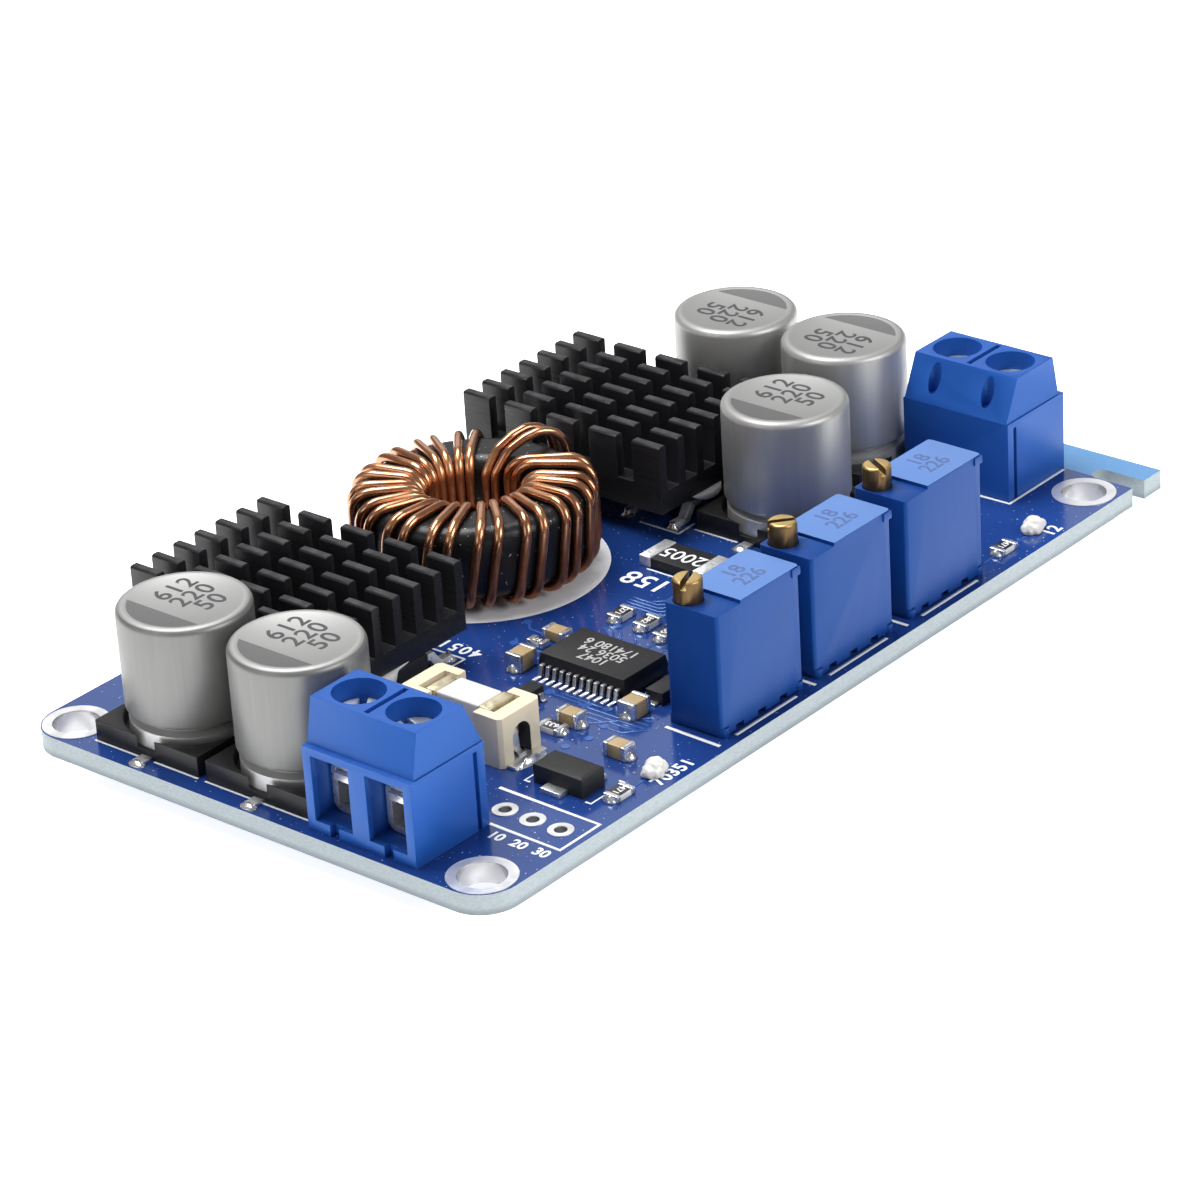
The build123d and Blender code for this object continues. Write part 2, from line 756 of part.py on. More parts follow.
# Ceramic fuse body.
fuse_low = holder_high - fuse_side
with BuildPart() as fuse_body:
    half = fuse_side / 2
    reach = fuse_long / 2 - fuse_cap
    block(fuse_seat, (-half, half), (-reach, reach), (fuse_low, fuse_low + fuse_side))
save(fuse_body, "fuse_body")

# Plated end caps of the fuse.
with BuildPart() as fuse_caps:
    for side in (-1, 1):
        span = sorted((side * (fuse_long / 2 - fuse_cap), side * fuse_long / 2))
        block(fuse_seat, (-half, half), span, (fuse_low, fuse_low + fuse_side))
    chamfer(fuse_caps.edges().filter_by(Axis.X), 0.1)
save(fuse_caps, "fuse_caps")

# Spring clips: an upright plate on each cap, turned out under the arch into a wide foot.
with BuildPart() as fuse_clips:
    for side in (-1, 1):
        plate = sorted((side * fuse_long / 2, side * (fuse_long / 2 + clip_thick)))
        block(fuse_seat, (-clip_wide / 2, clip_wide / 2), plate, (0, 3.5))
        sole = sorted((side * (fuse_long / 2 + clip_thick), side * holder_half))
        block(fuse_seat, (-clip_wide / 2, clip_wide / 2), sole, (0, clip_thick))
        toe = sorted((side * holder_half, side * (holder_half + foot_reach)))
        block(fuse_seat, (-foot_wide / 2, foot_wide / 2), toe, (0, clip_thick))
save(fuse_clips, "fuse_clips")

# Controller package, drafted above and below its lead line.
with BuildPart() as controller_package:
    middle = chip_stand + chip_high / 2
    for direction in (1, -1):
        with BuildSketch(Plane.XY.offset(board_thick + middle)):
            with Locations((chip_x, chip_y)):
                Rectangle(chip_wide, chip_long)
        extrude(amount=direction * chip_high / 2, taper=chip_draft)
save(controller_package, "controller_package")

# Twenty-four formed leads, twelve each side.
with BuildPart() as controller_leads:
    exit_low = chip_stand + chip_high / 2 - chip_lead_thick / 2
    for side in (-1, 1):
        points = gull_wing(chip_wide / 2, chip_span / 2, exit_low, chip_lead_thick, chip_foot)
        for n in range(chip_leads):
            lead_y = chip_y + (n - (chip_leads - 1) / 2) * chip_pitch
            strip(side_plane(chip_x, lead_y, side), points, chip_lead_wide)
save(controller_leads, "controller_leads")

# Current-sense resistor: body between two plated ends.
shunt_seat = level_plane(shunt_x, front_edge + shunt_in)
with BuildPart() as shunt_body:
    half = shunt_long / 2 - shunt_end
    across = (-shunt_wide / 2 + 0.05, shunt_wide / 2 - 0.05)
    block(shunt_seat, across, (-half, half), (0, shunt_high))
save(shunt_body, "shunt_body")

with BuildPart() as shunt_ends:
    for side in (-1, 1):
        span = sorted((side * half, side * shunt_long / 2))
        block(shunt_seat, (-shunt_wide / 2, shunt_wide / 2), span, (0, shunt_high + 0.05))
save(shunt_ends, "shunt_ends")

for kind, small_parts in (("chip_resistor", resistors), ("chip_capacitor", ceramics)):
    # Bodies of the small two-ended parts.
    with BuildPart() as chip_bodies:
        for x, inward, turned, length, width, height in small_parts:
            seat = level_plane(x, front_edge + inward).rotated((0, 0, turned))
            reach = length / 2 - chip_end
            block(seat, (-reach, reach), (-width / 2, width / 2), (0, height))
    save(chip_bodies, f"{kind}s")

    # Their plated ends, slightly proud of the bodies.
    with BuildPart() as chip_ends:
        for x, inward, turned, length, width, height in small_parts:
            seat = level_plane(x, front_edge + inward).rotated((0, 0, turned))
            half = width / 2 + end_proud
            for side in (-1, 1):
                span = sorted((side * (length / 2 - chip_end), side * length / 2))
                block(seat, span, (-half, half), (0, height + end_proud))
    save(chip_ends, f"{kind}_ends")

# Status lights with a lens block on a flat substrate.
with BuildPart() as status_leds:
    for x, inward in lights:
        seat = level_plane(x, front_edge + inward)
        across = (-light_wide / 2, light_wide / 2)
        block(seat, (-light_long / 2, light_long / 2), across, (0, 0.35))
        block(seat, (-0.62, 0.62), across, (0.35, light_high))
save(status_leds, "status_leds")

# Regulator, transistor and diode bodies with bevelled tops.
with BuildPart() as small_packages:
    tri_y = front_edge + tri_in
    reg_seat = level_plane(reg_x, front_edge + reg_in)
    tri_seat = level_plane(tri_x, tri_y)
    diode_seat = level_plane(diode_x, front_edge + diode_in)
    for seat, length, width, height in (
        (reg_seat, reg_wide, reg_long, reg_high),
        (tri_seat, tri_long, tri_wide, tri_high),
        (diode_seat, diode_long, diode_wide, diode_high),
    ):
        block(seat, (-length / 2, length / 2), (-width / 2, width / 2), (0, height))
        chamfer(small_packages.faces().filter_by(Plane.XY).sort_by(Axis.Z)[-1].edges(), 0.15)
save(small_packages, "small_packages")

# Tab and leads of the small packages.
with BuildPart() as small_leads:
    inner = -reg_wide / 2
    block(reg_seat, (inner - 0.9, inner), (-0.9, 0.9), (0, 0.4))
    for n in (-1, 0, 1):
        lead = (n * 1.5 - 0.25, n * 1.5 + 0.25)
        block(reg_seat, (-inner, -inner + 0.8), lead, (0, 0.4))
    points = gull_wing(tri_wide / 2, tri_wide / 2 + 0.55, 0.45, 0.14, 0.3)
    for side, places in ((-1, (-0.95, 0.95)), (1, (0,))):
        for place in places:
            lead_seat = Plane(
                origin=(tri_x + place, tri_y, board_thick), x_dir=(0, side, 0), z_dir=(side, 0, 0)
            )
            strip(lead_seat, points, 0.42)
    for side in (-1, 1):
        span = sorted((side * diode_long / 2, side * (diode_long / 2 + 0.5)))
        block(diode_seat, span, (-0.45, 0.45), (0, 0.2))
save(small_leads, "small_leads")

# Solder wedges at the leads of the larger parts.
with BuildPart() as solder_joints:
    for x, y, positive in capacitors:
        tip = cup_side / 2 + can_lead_reach
        for side in (-1, 1):
            wedge = ((tip, 0), (tip + 0.55, 0), (tip, can_lead_thick))
            strip(side_plane(x, y, side), wedge, can_lead_wide + 0.5)
    for name, sink_x, outward in sinks:
        fet_x = outward * (fet_inner + fet_deep / 2)
        tip = fet_deep / 2 + fet_foot_reach
        wedge = ((tip, 0), (tip + 0.45, 0), (tip, fet_lead_thick * 0.8))
        for row in (-1, 1):
            for side in (-1, 1):
                lead_y = sink_y - 0.05 + row * fet_spread + side * fet_lead_pitch / 2
                strip(side_plane(fet_x, lead_y, -outward), wedge, fet_lead_wide + 0.4)
    for side in (-1, 1):
        tip = fuse_y + side * (holder_half + foot_reach)
        toe_seat = Plane(origin=(fuse_x, tip, board_thick), x_dir=(0, side, 0), z_dir=(side, 0, 0))
        strip(toe_seat, ((0, 0), (0.4, 0), (0, clip_thick)), foot_wide - 0.6)
save(solder_joints, "solder_joints")
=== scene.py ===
from math import cos, pi, radians, sin

import bmesh
import bpy
from mathutils import Euler, Matrix, Vector, noise


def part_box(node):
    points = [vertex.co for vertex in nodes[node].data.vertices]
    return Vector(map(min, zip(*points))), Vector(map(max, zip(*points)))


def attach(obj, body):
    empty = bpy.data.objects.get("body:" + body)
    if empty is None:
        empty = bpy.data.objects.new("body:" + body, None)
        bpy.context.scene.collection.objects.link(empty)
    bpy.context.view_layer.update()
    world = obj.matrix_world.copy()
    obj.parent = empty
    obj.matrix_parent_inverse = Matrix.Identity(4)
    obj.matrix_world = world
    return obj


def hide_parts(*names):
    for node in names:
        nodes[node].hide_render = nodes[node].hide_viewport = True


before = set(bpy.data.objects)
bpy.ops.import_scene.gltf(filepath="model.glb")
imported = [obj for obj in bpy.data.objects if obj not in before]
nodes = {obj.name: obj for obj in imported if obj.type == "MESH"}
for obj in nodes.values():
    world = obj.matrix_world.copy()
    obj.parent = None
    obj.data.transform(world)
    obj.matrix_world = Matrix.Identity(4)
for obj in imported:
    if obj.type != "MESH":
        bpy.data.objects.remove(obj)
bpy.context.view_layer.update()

# ---- Studio -------------------------------------------------------------------
# A pale paper floor under the module, four soft lights and the camera at the
# photograph's place, looking down along the board from its near corner.
scene = bpy.context.scene
scene.view_settings.view_transform = "Standard"

eye = bpy.data.cameras.new("studio_camera")
eye.lens = 135.82
eye.clip_start = 0.01
camera = bpy.data.objects.new("studio_camera", eye)
camera.location = (-0.230561, -0.202955, 0.155534)
camera.rotation_euler = Euler((radians(63.377), radians(3.2085), radians(-50.271)))
scene.collection.objects.link(camera)
scene.camera = camera

world = bpy.data.worlds.new("studio_air")
world.use_nodes = True
air = world.node_tree.nodes["Background"].inputs
air["Color"].default_value = (1, 1, 1, 1)
air["Strength"].default_value = 0.24
scene.world = world


def soft_light(name, place, size, power):
    """A soft box at a place, turned towards the module."""
    lamp = bpy.data.lights.new(name, "AREA")
    lamp.shape = "RECTANGLE"
    lamp.size, lamp.size_y = size
    lamp.energy = power
    made = bpy.data.objects.new(name, lamp)
    made.location = place
    made.rotation_euler = Vector(place).to_track_quat("Z", "Y").to_euler()
    scene.collection.objects.link(made)


soft_light("overhead_box", (0.00, 0.10, 0.34), (0.26, 0.18), 1.60)
soft_light("front_box", (0.06, -0.34, 0.22), (0.24, 0.18), 0.76)
soft_light("end_box", (-0.36, 0.06, 0.16), (0.20, 0.16), 0.15)
soft_light("back_panel", (0.36, 0.40, 0.28), (0.46, 0.22), 0.22)

floor_level = -0.0012  # the solder pins stand on the floor
floor_half = 3
floor_mesh = bpy.data.meshes.new("paper_floor")
floor_corners = [(floor_half * x, floor_half * y) for x, y in ((-1, -1), (1, -1), (1, 1), (-1, 1))]
floor_mesh.from_pydata([(*corner, floor_level) for corner in floor_corners], [], [(0, 1, 2, 3)])
floor = bpy.data.objects.new("paper_floor", floor_mesh)
scene.collection.objects.link(floor)
paper = bpy.data.materials.new("white_paper")
paper.use_nodes = True
for socket, value in (
    ("Base Color", (0.94, 0.94, 0.94, 1)),
    ("Roughness", 0.9),
    ("Emission Color", (1, 1, 1, 1)),
    ("Emission Strength", 0.80),
):
    paper.node_tree.nodes["Principled BSDF"].inputs[socket].default_value = value
floor_mesh.materials.append(paper)


# ---- Circuit board ------------------------------------------------------------
# Glass-epoxy laminate, routed to shape, under a glossy blue mask; the cut edges are
# bare and pale, and the rail stub, with no copper under its mask, is a lighter blue.
class Signal:
    """One socket of a finish, with the sums that are done on it as node maths."""

    def __init__(self, finish, socket):
        self.finish, self.socket = finish, socket

    def maths(self, operation, first, second=None):
        """One step of node maths, on sockets or plain numbers."""
        values = {0: first}
        if second is not None:
            values[1] = second
        return self.finish.node("ShaderNodeMath", {"operation": operation}, values)

    def __add__(self, other):
        return self.maths("ADD", self, other)

    def __sub__(self, other):
        return self.maths("SUBTRACT", self, other)

    def __rsub__(self, other):
        return self.maths("SUBTRACT", other, self)

    def __mul__(self, other):
        return self.maths("MULTIPLY", self, other)

    def __gt__(self, other):
        return self.maths("GREATER_THAN", self, other)

    def __lt__(self, other):
        return self.maths("LESS_THAN", self, other)

    def __abs__(self):
        return self.maths("ABSOLUTE", self)

    __radd__ = __add__
    __rmul__ = __mul__


class Finish:
    """A material built from nodes, reading the piece's own object coordinates."""

    def __init__(self, name, **shader):
        self.material = bpy.data.materials.new(name)
        self.material.use_nodes = True
        self.tree = self.material.node_tree
        self.skin = self.tree.nodes["Principled BSDF"]
        self.place = self.node("ShaderNodeTexCoord", {}, {}, "Object")
        for socket, value in shader.items():
            self.set(socket.replace("_", " "), value)

    def node(self, kind, settings, values, output=0):
        """One node: its settings first, then the values or links of its sockets."""
        made = self.tree.nodes.new(kind)
        for key, value in settings.items():
            setattr(made, key, value)
        for key, value in values.items():
            if isinstance(value, Signal):
                self.tree.links.new(value.socket, made.inputs[key])
            else:
                made.inputs[key].default_value = value
        return Signal(self, made.outputs[output])

    def set(self, socket, value):
        if isinstance(value, Signal):
            self.tree.links.new(value.socket, self.skin.inputs[socket])
        else:
            if isinstance(value, tuple) and len(value) == 3:
                value = (*value, 1)
            self.skin.inputs[socket].default_value = value

    def grain(self, size, detail=2.0, stretch=(1, 1, 1)):
        """Noise whose blotches are about this many metres across."""
        spread = self.node("ShaderNodeMapping", {}, {"Vector": self.place, "Scale": stretch})
        return self.node("ShaderNodeTexNoise", {}, {"Vector": spread, "Scale": 1 / size, "Detail": detail})

    def part(self, axis):
        """One coordinate of the object's place, in metres."""
        return self.node("ShaderNodeSeparateXYZ", {}, {0: self.place}, axis)

    def facing(self, axis):
        """One part of the surface direction."""
        direction = self.node("ShaderNodeNewGeometry", {}, {}, "Normal")
        return self.node("ShaderNodeSeparateXYZ", {}, {0: direction}, axis)

    def between(self, low, high, mask):
        """A colour that goes from low to high with the mask."""
        values = {"Factor": mask, 6: (*low, 1) if isinstance(low, tuple) else low}
        values[7] = (*high, 1) if isinstance(high, tuple) else high
        return self.node("ShaderNodeMix", {"data_type": "RGBA"}, values, 2)

    def span(self, signal, low, high, out_low=0.0, out_high=1.0):
        """The signal carried from one range to another and held there."""
        values = {0: signal, 1: low, 2: high, 3: out_low, 4: out_high}
        return self.node("ShaderNodeMapRange", {}, values)

    def specks(self, size, strength):
        """A mask of few fine specks of dust."""
        return self.span(self.grain(size, 1.0), 0.735, 0.76, 0.0, strength)

    def mottled(self, low, high, size, detail=2.0):
        """A base colour that drifts between two tones in soft blotches."""
        self.set("Base Color", self.between(low, high, self.grain(size, detail)))

    def relief(self, height, depth):
        """Bumps the surface by a height signal, depth in metres."""
        bump = self.node("ShaderNodeBump", {}, {"Height": height, "Distance": depth, "Strength": 1.0})
        self.set("Normal", bump)


def wear(piece, finish):
    """Gives a piece its finish."""
    piece.data.materials.clear()
    piece.data.materials.append(finish.material)


mask_gloss = {
    "Coat_Weight": 0.12,
    "Coat_Roughness": 0.10,
    "Specular_IOR_Level": 0.75,
    "Specular_Tint": (0.45, 0.66, 1.0),
}
rail_start = 0.0390
board_skin = Finish("blue_mask_board", **mask_gloss)
level = board_skin.span(abs(board_skin.facing(2)), 0.6, 0.8)
on_rail = board_skin.part(0) > rail_start
weave = board_skin.grain(0.00035, 3.0, (1, 1, 3))
mottle = board_skin.grain(0.011, 2.0)
clean = board_skin.between((0.010, 0.037, 0.180), (0.015, 0.050, 0.225), board_skin.span(mottle, 0.35, 0.65))
masked = board_skin.between(clean, (0.75, 0.78, 0.82), board_skin.specks(0.00026, 0.6))
rail_blue = board_skin.between((0.10, 0.25, 0.48), (0.14, 0.31, 0.55), weave)
fibre = board_skin.between((0.32, 0.36, 0.36), (0.41, 0.46, 0.47), board_skin.span(weave, 0.3, 0.7))
cut_edge = board_skin.between((0.24, 0.27, 0.27), fibre, board_skin.span(board_skin.part(2), 0.0002, 0.0006))
top_colour = board_skin.between(masked, rail_blue, on_rail)
board_skin.set("Base Color", board_skin.between(cut_edge, top_colour, level))
board_skin.set("Roughness", board_skin.span(level, 0, 1, 0.62, 0.16) + on_rail * level * 0.45)
board_skin.relief(weave * 0.5 + board_skin.grain(0.0022, 1.0) * 0.5, 0.00002)
wear(nodes["circuit_board"], board_skin)


# ---- Legend print on the board ------------------------------------------------
# White epoxy ink, screen-printed on the mask as thin outlines, plain figures and a disc
# under the coil; fine copper tracks and via rings show through the mask between them.
mm = 0.001
board_top = 1.6 * mm


def new_piece(name, mesh):
    """An object of the scene that holds a mesh, a curve or a text."""
    piece = bpy.data.objects.new(name, mesh)
    scene.collection.objects.link(piece)
    return piece


def settle(piece, slot, finish, *stands_for, body="module"):
    """Gives a piece its finish and its body and hides the nodes it stands for; the slot is not used."""
    wear(piece, finish)
    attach(piece, body)
    if stands_for:
        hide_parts(*stands_for)
    return piece


def add_modifier_group(name, inputs):
    """An empty geometry group with the given named inputs: (name, socket type, start value)."""
    group = bpy.data.node_groups.new(name, "GeometryNodeTree")
    group.interface.new_socket("Geometry", in_out="OUTPUT", socket_type="NodeSocketGeometry")
    group.interface.new_socket("Geometry", in_out="INPUT", socket_type="NodeSocketGeometry")
    for label, kind, value in inputs:
        socket = group.interface.new_socket(label, in_out="INPUT", socket_type=kind)
        if value is not None:
            socket.default_value = value
    entry = group.nodes.new("NodeGroupInput")
    leave = group.nodes.new("NodeGroupOutput")
    return group, entry, leave


def chain(group, kind, links, **settings):
    """One node of a geometry group; an input takes a value, a socket or a node's first output."""
    made = group.nodes.new(kind)
    for key, value in settings.items():
        setattr(made, key, value)
    for key, value in links.items():
        if isinstance(value, bpy.types.Node):
            value = value.outputs[0]
        if isinstance(value, bpy.types.NodeSocket):
            group.links.new(value, made.inputs[key])
        else:
            made.inputs[key].default_value = value
    return made


def end_group(group, entry, leave, last):
    """Ends a geometry group in real meshes that wear its material."""
    real = chain(group, "GeometryNodeRealizeInstances", {0: last})
    worn = chain(group, "GeometryNodeSetMaterial", {0: real, "Material": entry.outputs["Material"]})
    group.links.new(worn.outputs[0], leave.inputs[0])


def plain_mesh(carrier):
    """The mesh that a carrier shows, as plain data; its modifiers and the carrier go."""
    bpy.context.view_layer.update()
    seen = carrier.evaluated_get(bpy.context.evaluated_depsgraph_get())
    mesh = bpy.data.meshes.new_from_object(seen)
    carrier.modifiers.clear()
    bpy.data.objects.remove(carrier)
    return mesh


def grow(carrier, group, values):
    """Runs a geometry group on a carrier and gives back the plain mesh it makes."""
    step = carrier.modifiers.new(group.name, "NODES")
    step.node_group = group
    for item in group.interface.items_tree:
        if item.item_type == "SOCKET" and item.in_out == "INPUT" and item.name in values:
            step[item.identifier] = values[item.name]
    return plain_mesh(carrier)


strip_group, entry, leave = add_modifier_group(
    "flat strips",
    (
        ("Width", "NodeSocketFloat", 0.00015),
        ("Thickness", "NodeSocketFloat", 0.00002),
        ("Material", "NodeSocketMaterial", None),
    ),
)
edge_line = chain(
    strip_group, "GeometryNodeCurvePrimitiveQuadrilateral",
    {"Width": entry.outputs["Width"], "Height": entry.outputs["Thickness"]}, mode="RECTANGLE",
)
level_run = chain(strip_group, "GeometryNodeSetCurveNormal", {"Curve": entry}, mode="Z_UP")
strip_body = chain(
    strip_group, "GeometryNodeCurveToMesh",
    {"Curve": level_run, "Profile Curve": edge_line, "Fill Caps": True},
)
end_group(strip_group, entry, leave, strip_body)


def path_object(name, paths, closed=False):
    """A curve object with one straight-cornered path for each list of points."""
    curve = bpy.data.curves.new(name, "CURVE")
    curve.dimensions = "3D"
    for path in paths:
        run = curve.splines.new("POLY")
        run.points.add(len(path) - 1)
        for point, place in zip(run.points, path):
            point.co = (*place, 1)
        run.use_cyclic_u = closed
    return new_piece(name, curve)


def printed_lines(name, paths, width, height, finish):
    """Flat strips on the board along paths in millimetres, each a hair above the last where they cross."""
    hair = 0.0004 * mm
    lifted = [
        [(x * mm, y * mm, board_top + height + n * hair) for x, y in path]
        for n, path in enumerate(paths)
    ]
    carrier = path_object(name, lifted)
    values = {"Width": width, "Thickness": 2 * height, "Material": finish.material}
    return new_piece(name, grow(carrier, strip_group, values))


ink = Finish("white_ink", Roughness=0.55)
ink.mottled((0.80, 0.82, 0.86), (0.95, 0.95, 0.96), 0.0003, 3.0)
fine_lines = [
    [(12.73, 2.49), (12.77, 6.45)],
    [(12.73, 2.49), (14.85, 2.57)],
    [(-12.67, 2.44), (-12.73, 6.14)],
    [(-12.67, 2.44), (-14.18, 2.52)],
    [(-37.22, 16.62), (-37.22, 11.6)],
    [(-37.22, 10.6), (-37.22, 6.2)],
    [(-37.22, 5.48), (-37.22, 0.9)],
    [(-37.22, -0.2), (-37.22, -4.9)],
    [(14.05, 1.9), (14.05, -2.34)],
    [(-20.6, -19.0), (-20.6, -19.5), (-24.3, -19.5), (-24.3, -19.0)],
    [(-20.6, -13.9), (-20.6, -13.4), (-24.3, -13.4), (-24.3, -13.9)],
    [(6.6, 0.65), (6.6, -2.3)],
    [(-6.3, -12.3), (-11.2, -12.3)],
]
broad_lines = [
    [(-26.1, -12.6), (-26.2, -21.9), (-30.5, -21.9), (-30.4, -15.4)],
    [(-12.54, -16.69), (-12.67, -21.78)],
    [(-10.71, -21.66), (-3.63, -21.66)],
    [(-1.45, -16.69), (-1.45, -21.78)],
    [(0.35, -21.66), (7.4, -21.66)],
    [(9.9, -16.69), (9.9, -21.78)],
    [(11.8, -21.66), (18.9, -21.66)],
    [(31.16, -12.89), (31.20, -16.02), (38.78, -15.93)],
]
for name, lines, width in (("fine_legend", fine_lines, 0.18), ("broad_legend", broad_lines, 0.31)):
    settle(printed_lines(name, lines, width * mm, 0.01 * mm, ink), "board_laminate", ink)


def as_mesh(name, shape, outward=True):
    """Turns a worked shape into a plain mesh, with its faces turned outward, and lets the shape go."""
    if outward:
        bmesh.ops.recalc_face_normals(shape, faces=shape.faces)
    mesh = bpy.data.meshes.new(name)
    shape.to_mesh(mesh)
    shape.free()
    return mesh


def flat_disc(name, centre, radius, height, steps=96):
    """A thin printed disc with a closed rim."""
    shape = bmesh.new()
    bmesh.ops.create_circle(shape, cap_ends=True, radius=radius, segments=steps)
    raised = bmesh.ops.extrude_face_region(shape, geom=shape.faces[:])
    corners = [v for v in raised["geom"] if isinstance(v, bmesh.types.BMVert)]
    bmesh.ops.translate(shape, verts=corners, vec=(0, 0, height))
    bmesh.ops.translate(shape, verts=shape.verts, vec=centre)
    return new_piece(name, as_mesh(name, shape))


coil_centre = Vector((-0.15 * mm, 12.0 * mm, 0))
disc_centre = coil_centre + Vector((0.25 * mm, -0.25 * mm, board_top))
settle(flat_disc("coil_disc", disc_centre, 9.93 * mm, 0.02 * mm), "board_laminate", ink)


figure_to_type = 1.38  # the type size that gives figures of height 1
ink_depth = 0.01 * mm


def figures(name, words, place, height, turn=0.0, stroke=0.0, gap=1.0):
    """Plain printed figures round a place: stroke widens their lines, gap their spacing."""
    text = bpy.data.curves.new(name, "FONT")
    text.body = words
    text.size = height * figure_to_type
    text.extrude = ink_depth
    text.offset = stroke / 2
    text.align_x = "CENTER"
    text.align_y = "CENTER"
    text.space_line = 0.8
    text.space_character = gap
    mesh = plain_mesh(new_piece(name, text))
    mesh.transform(Matrix.Translation(place) @ Matrix.Rotation(radians(turn), 4, "Z"))
    return new_piece(name, mesh)


for name, words, x, y, height, turn, gap in (
    ("shunt_legend", "158", 4.9, -0.7, 2.0, 90, 1.05),
    ("board_legend", "4051", -11.5, 3.85, 1.2, 90, 1.25),
    ("light_legend", "70351", -17.5, -21.4, 1.15, 0, 1.05),
    ("far_light_legend", "12", 29.1, -21.5, 1.2, 0, 1.0),
    ("header_legend", "10  20  30", -31.5, -19.0, 0.95, -90, 1.0),
):
    mark = figures(name, words, Vector((x * mm, y * mm, board_top)), height * mm, turn, 0.07 * mm, gap)
    settle(mark, "board_laminate", ink)

track_skin = Finish("masked_copper", Roughness=0.16, **mask_gloss)
track_skin.mottled((0.028, 0.085, 0.32), (0.036, 0.105, 0.38), 0.004)
tracks = [
    [(-12.4, -5.9), (-13.2, -6.7), (-13.2, -9.6), (-14.3, -10.7)],
    [(-12.4, -7.2), (-12.8, -7.6), (-12.8, -11.0)],
    [(-4.8, -5.2), (-3.6, -5.2), (-2.6, -4.2)],
    [(-4.8, -6.5), (-3.5, -6.5), (-2.6, -5.6)],
    [(-4.8, -7.8), (-2.8, -7.8)],
    [(-4.8, -9.1), (-3.4, -9.1), (-2.4, -10.1), (-2.4, -14.6)],
    [(-4.8, -10.4), (-3.9, -11.3), (-3.9, -15.4)],
    [(0.4, -3.0), (2.2, -3.0), (3.4, -4.2), (3.4, -9.5), (5.0, -11.1), (9.6, -11.1)],
    [(0.4, -5.5), (1.6, -5.5), (2.4, -6.3), (2.4, -10.0), (4.2, -11.8), (8.8, -11.8)],
    [(-0.2, -7.85), (1.2, -7.85), (1.5, -8.2), (1.5, -13.8)],
    [(-8.6, -2.2), (-8.6, 0.8), (-7.9, 1.5)],
    [(-6.2, 0.2), (-6.2, 1.6), (-5.4, 2.4)],
    [(-15.0, -12.4), (-15.0, -14.6), (-13.6, -16.0)],
    [(20.6, -16.0), (22.4, -14.2), (22.4, -11.0)],
    [(21.6, -20.4), (22.9, -20.4)],
    [(25.4, -20.4), (27.1, -20.4)],
    [(-21.0, -20.4), (-19.6, -20.4)],
]
for n in range(5):
    step = 0.55 * n
    left, right = -15.6 + step, -14.2 + step
    tracks.append([(left, -9.2), (left, -11.4 - step), (right, -12.8 - step), (right, -15.6)])
for n in range(4):
    step = 0.42 * n
    left, right = 1.0 + step, 2.4 + step
    tracks.append([(-4.8, -4.2 - step), (-3.4 - step, -4.2 - step), (-2.9, -3.6 + step / 2)])
    tracks.append([(left, -1.6), (left, -5.2 + step), (right, -6.6 + step), (right, -10.4)])
circuit = printed_lines("board_tracks", tracks, 0.26 * mm, 0.009 * mm, track_skin)
settle(circuit, "board_laminate", track_skin)


def lathe(name, outline, centre, steps=64):
    """A turned shape from (radius, height) points; an outline that ends where it starts is a ring."""
    closed = outline[0] == outline[-1]
    shape = bmesh.new()
    rings = []
    for radius, height in outline:
        if radius < 1e-9:
            rings.append([shape.verts.new(centre + Vector((0, 0, height)))])
            continue
        ring = []
        for n in range(steps):
            turn = 2 * pi * n / steps
            ring.append(shape.verts.new(centre + Vector((radius * cos(turn), radius * sin(turn), height))))
        rings.append(ring)
    for low, high in zip(rings, rings[1:]):
        for n in range(steps):
            m = n + 1
            corners = (low[n % len(low)], low[m % len(low)], high[m % len(high)], high[n % len(high)])
            distinct = list(dict.fromkeys(corners))
            if len(distinct) > 2:
                shape.faces.new(distinct)
    for ring in (rings[0], rings[-1]):
        if len(ring) > 1 and not closed:
            shape.faces.new(ring)
    bmesh.ops.remove_doubles(shape, verts=shape.verts, dist=1e-7)
    mesh = as_mesh(name, shape)
    mesh.shade_smooth()
    mesh.set_sharp_from_angle(angle=radians(38))
    return mesh


copies_group, entry, leave = add_modifier_group(
    "copies on points",
    (("Copy", "NodeSocketObject", None), ("Material", "NodeSocketMaterial", None)),
)
copy_info = chain(copies_group, "GeometryNodeObjectInfo", {"Object": entry.outputs["Copy"]})
spread = chain(
    copies_group, "GeometryNodeInstanceOnPoints",
    {"Points": entry, "Instance": copy_info.outputs["Geometry"]},
)
end_group(copies_group, entry, leave, spread)


def copies(name, pattern_mesh, places, finish):
    """One mesh of equal copies of a pattern, one at each place."""
    pattern = new_piece(name + "_pattern", pattern_mesh)
    points = bpy.data.meshes.new(name + "_points")
    points.from_pydata([tuple(p) for p in places], [], [])
    mesh = grow(new_piece(name, points), copies_group, {"Copy": pattern, "Material": finish.material})
    bpy.data.objects.remove(pattern)
    return new_piece(name, mesh)


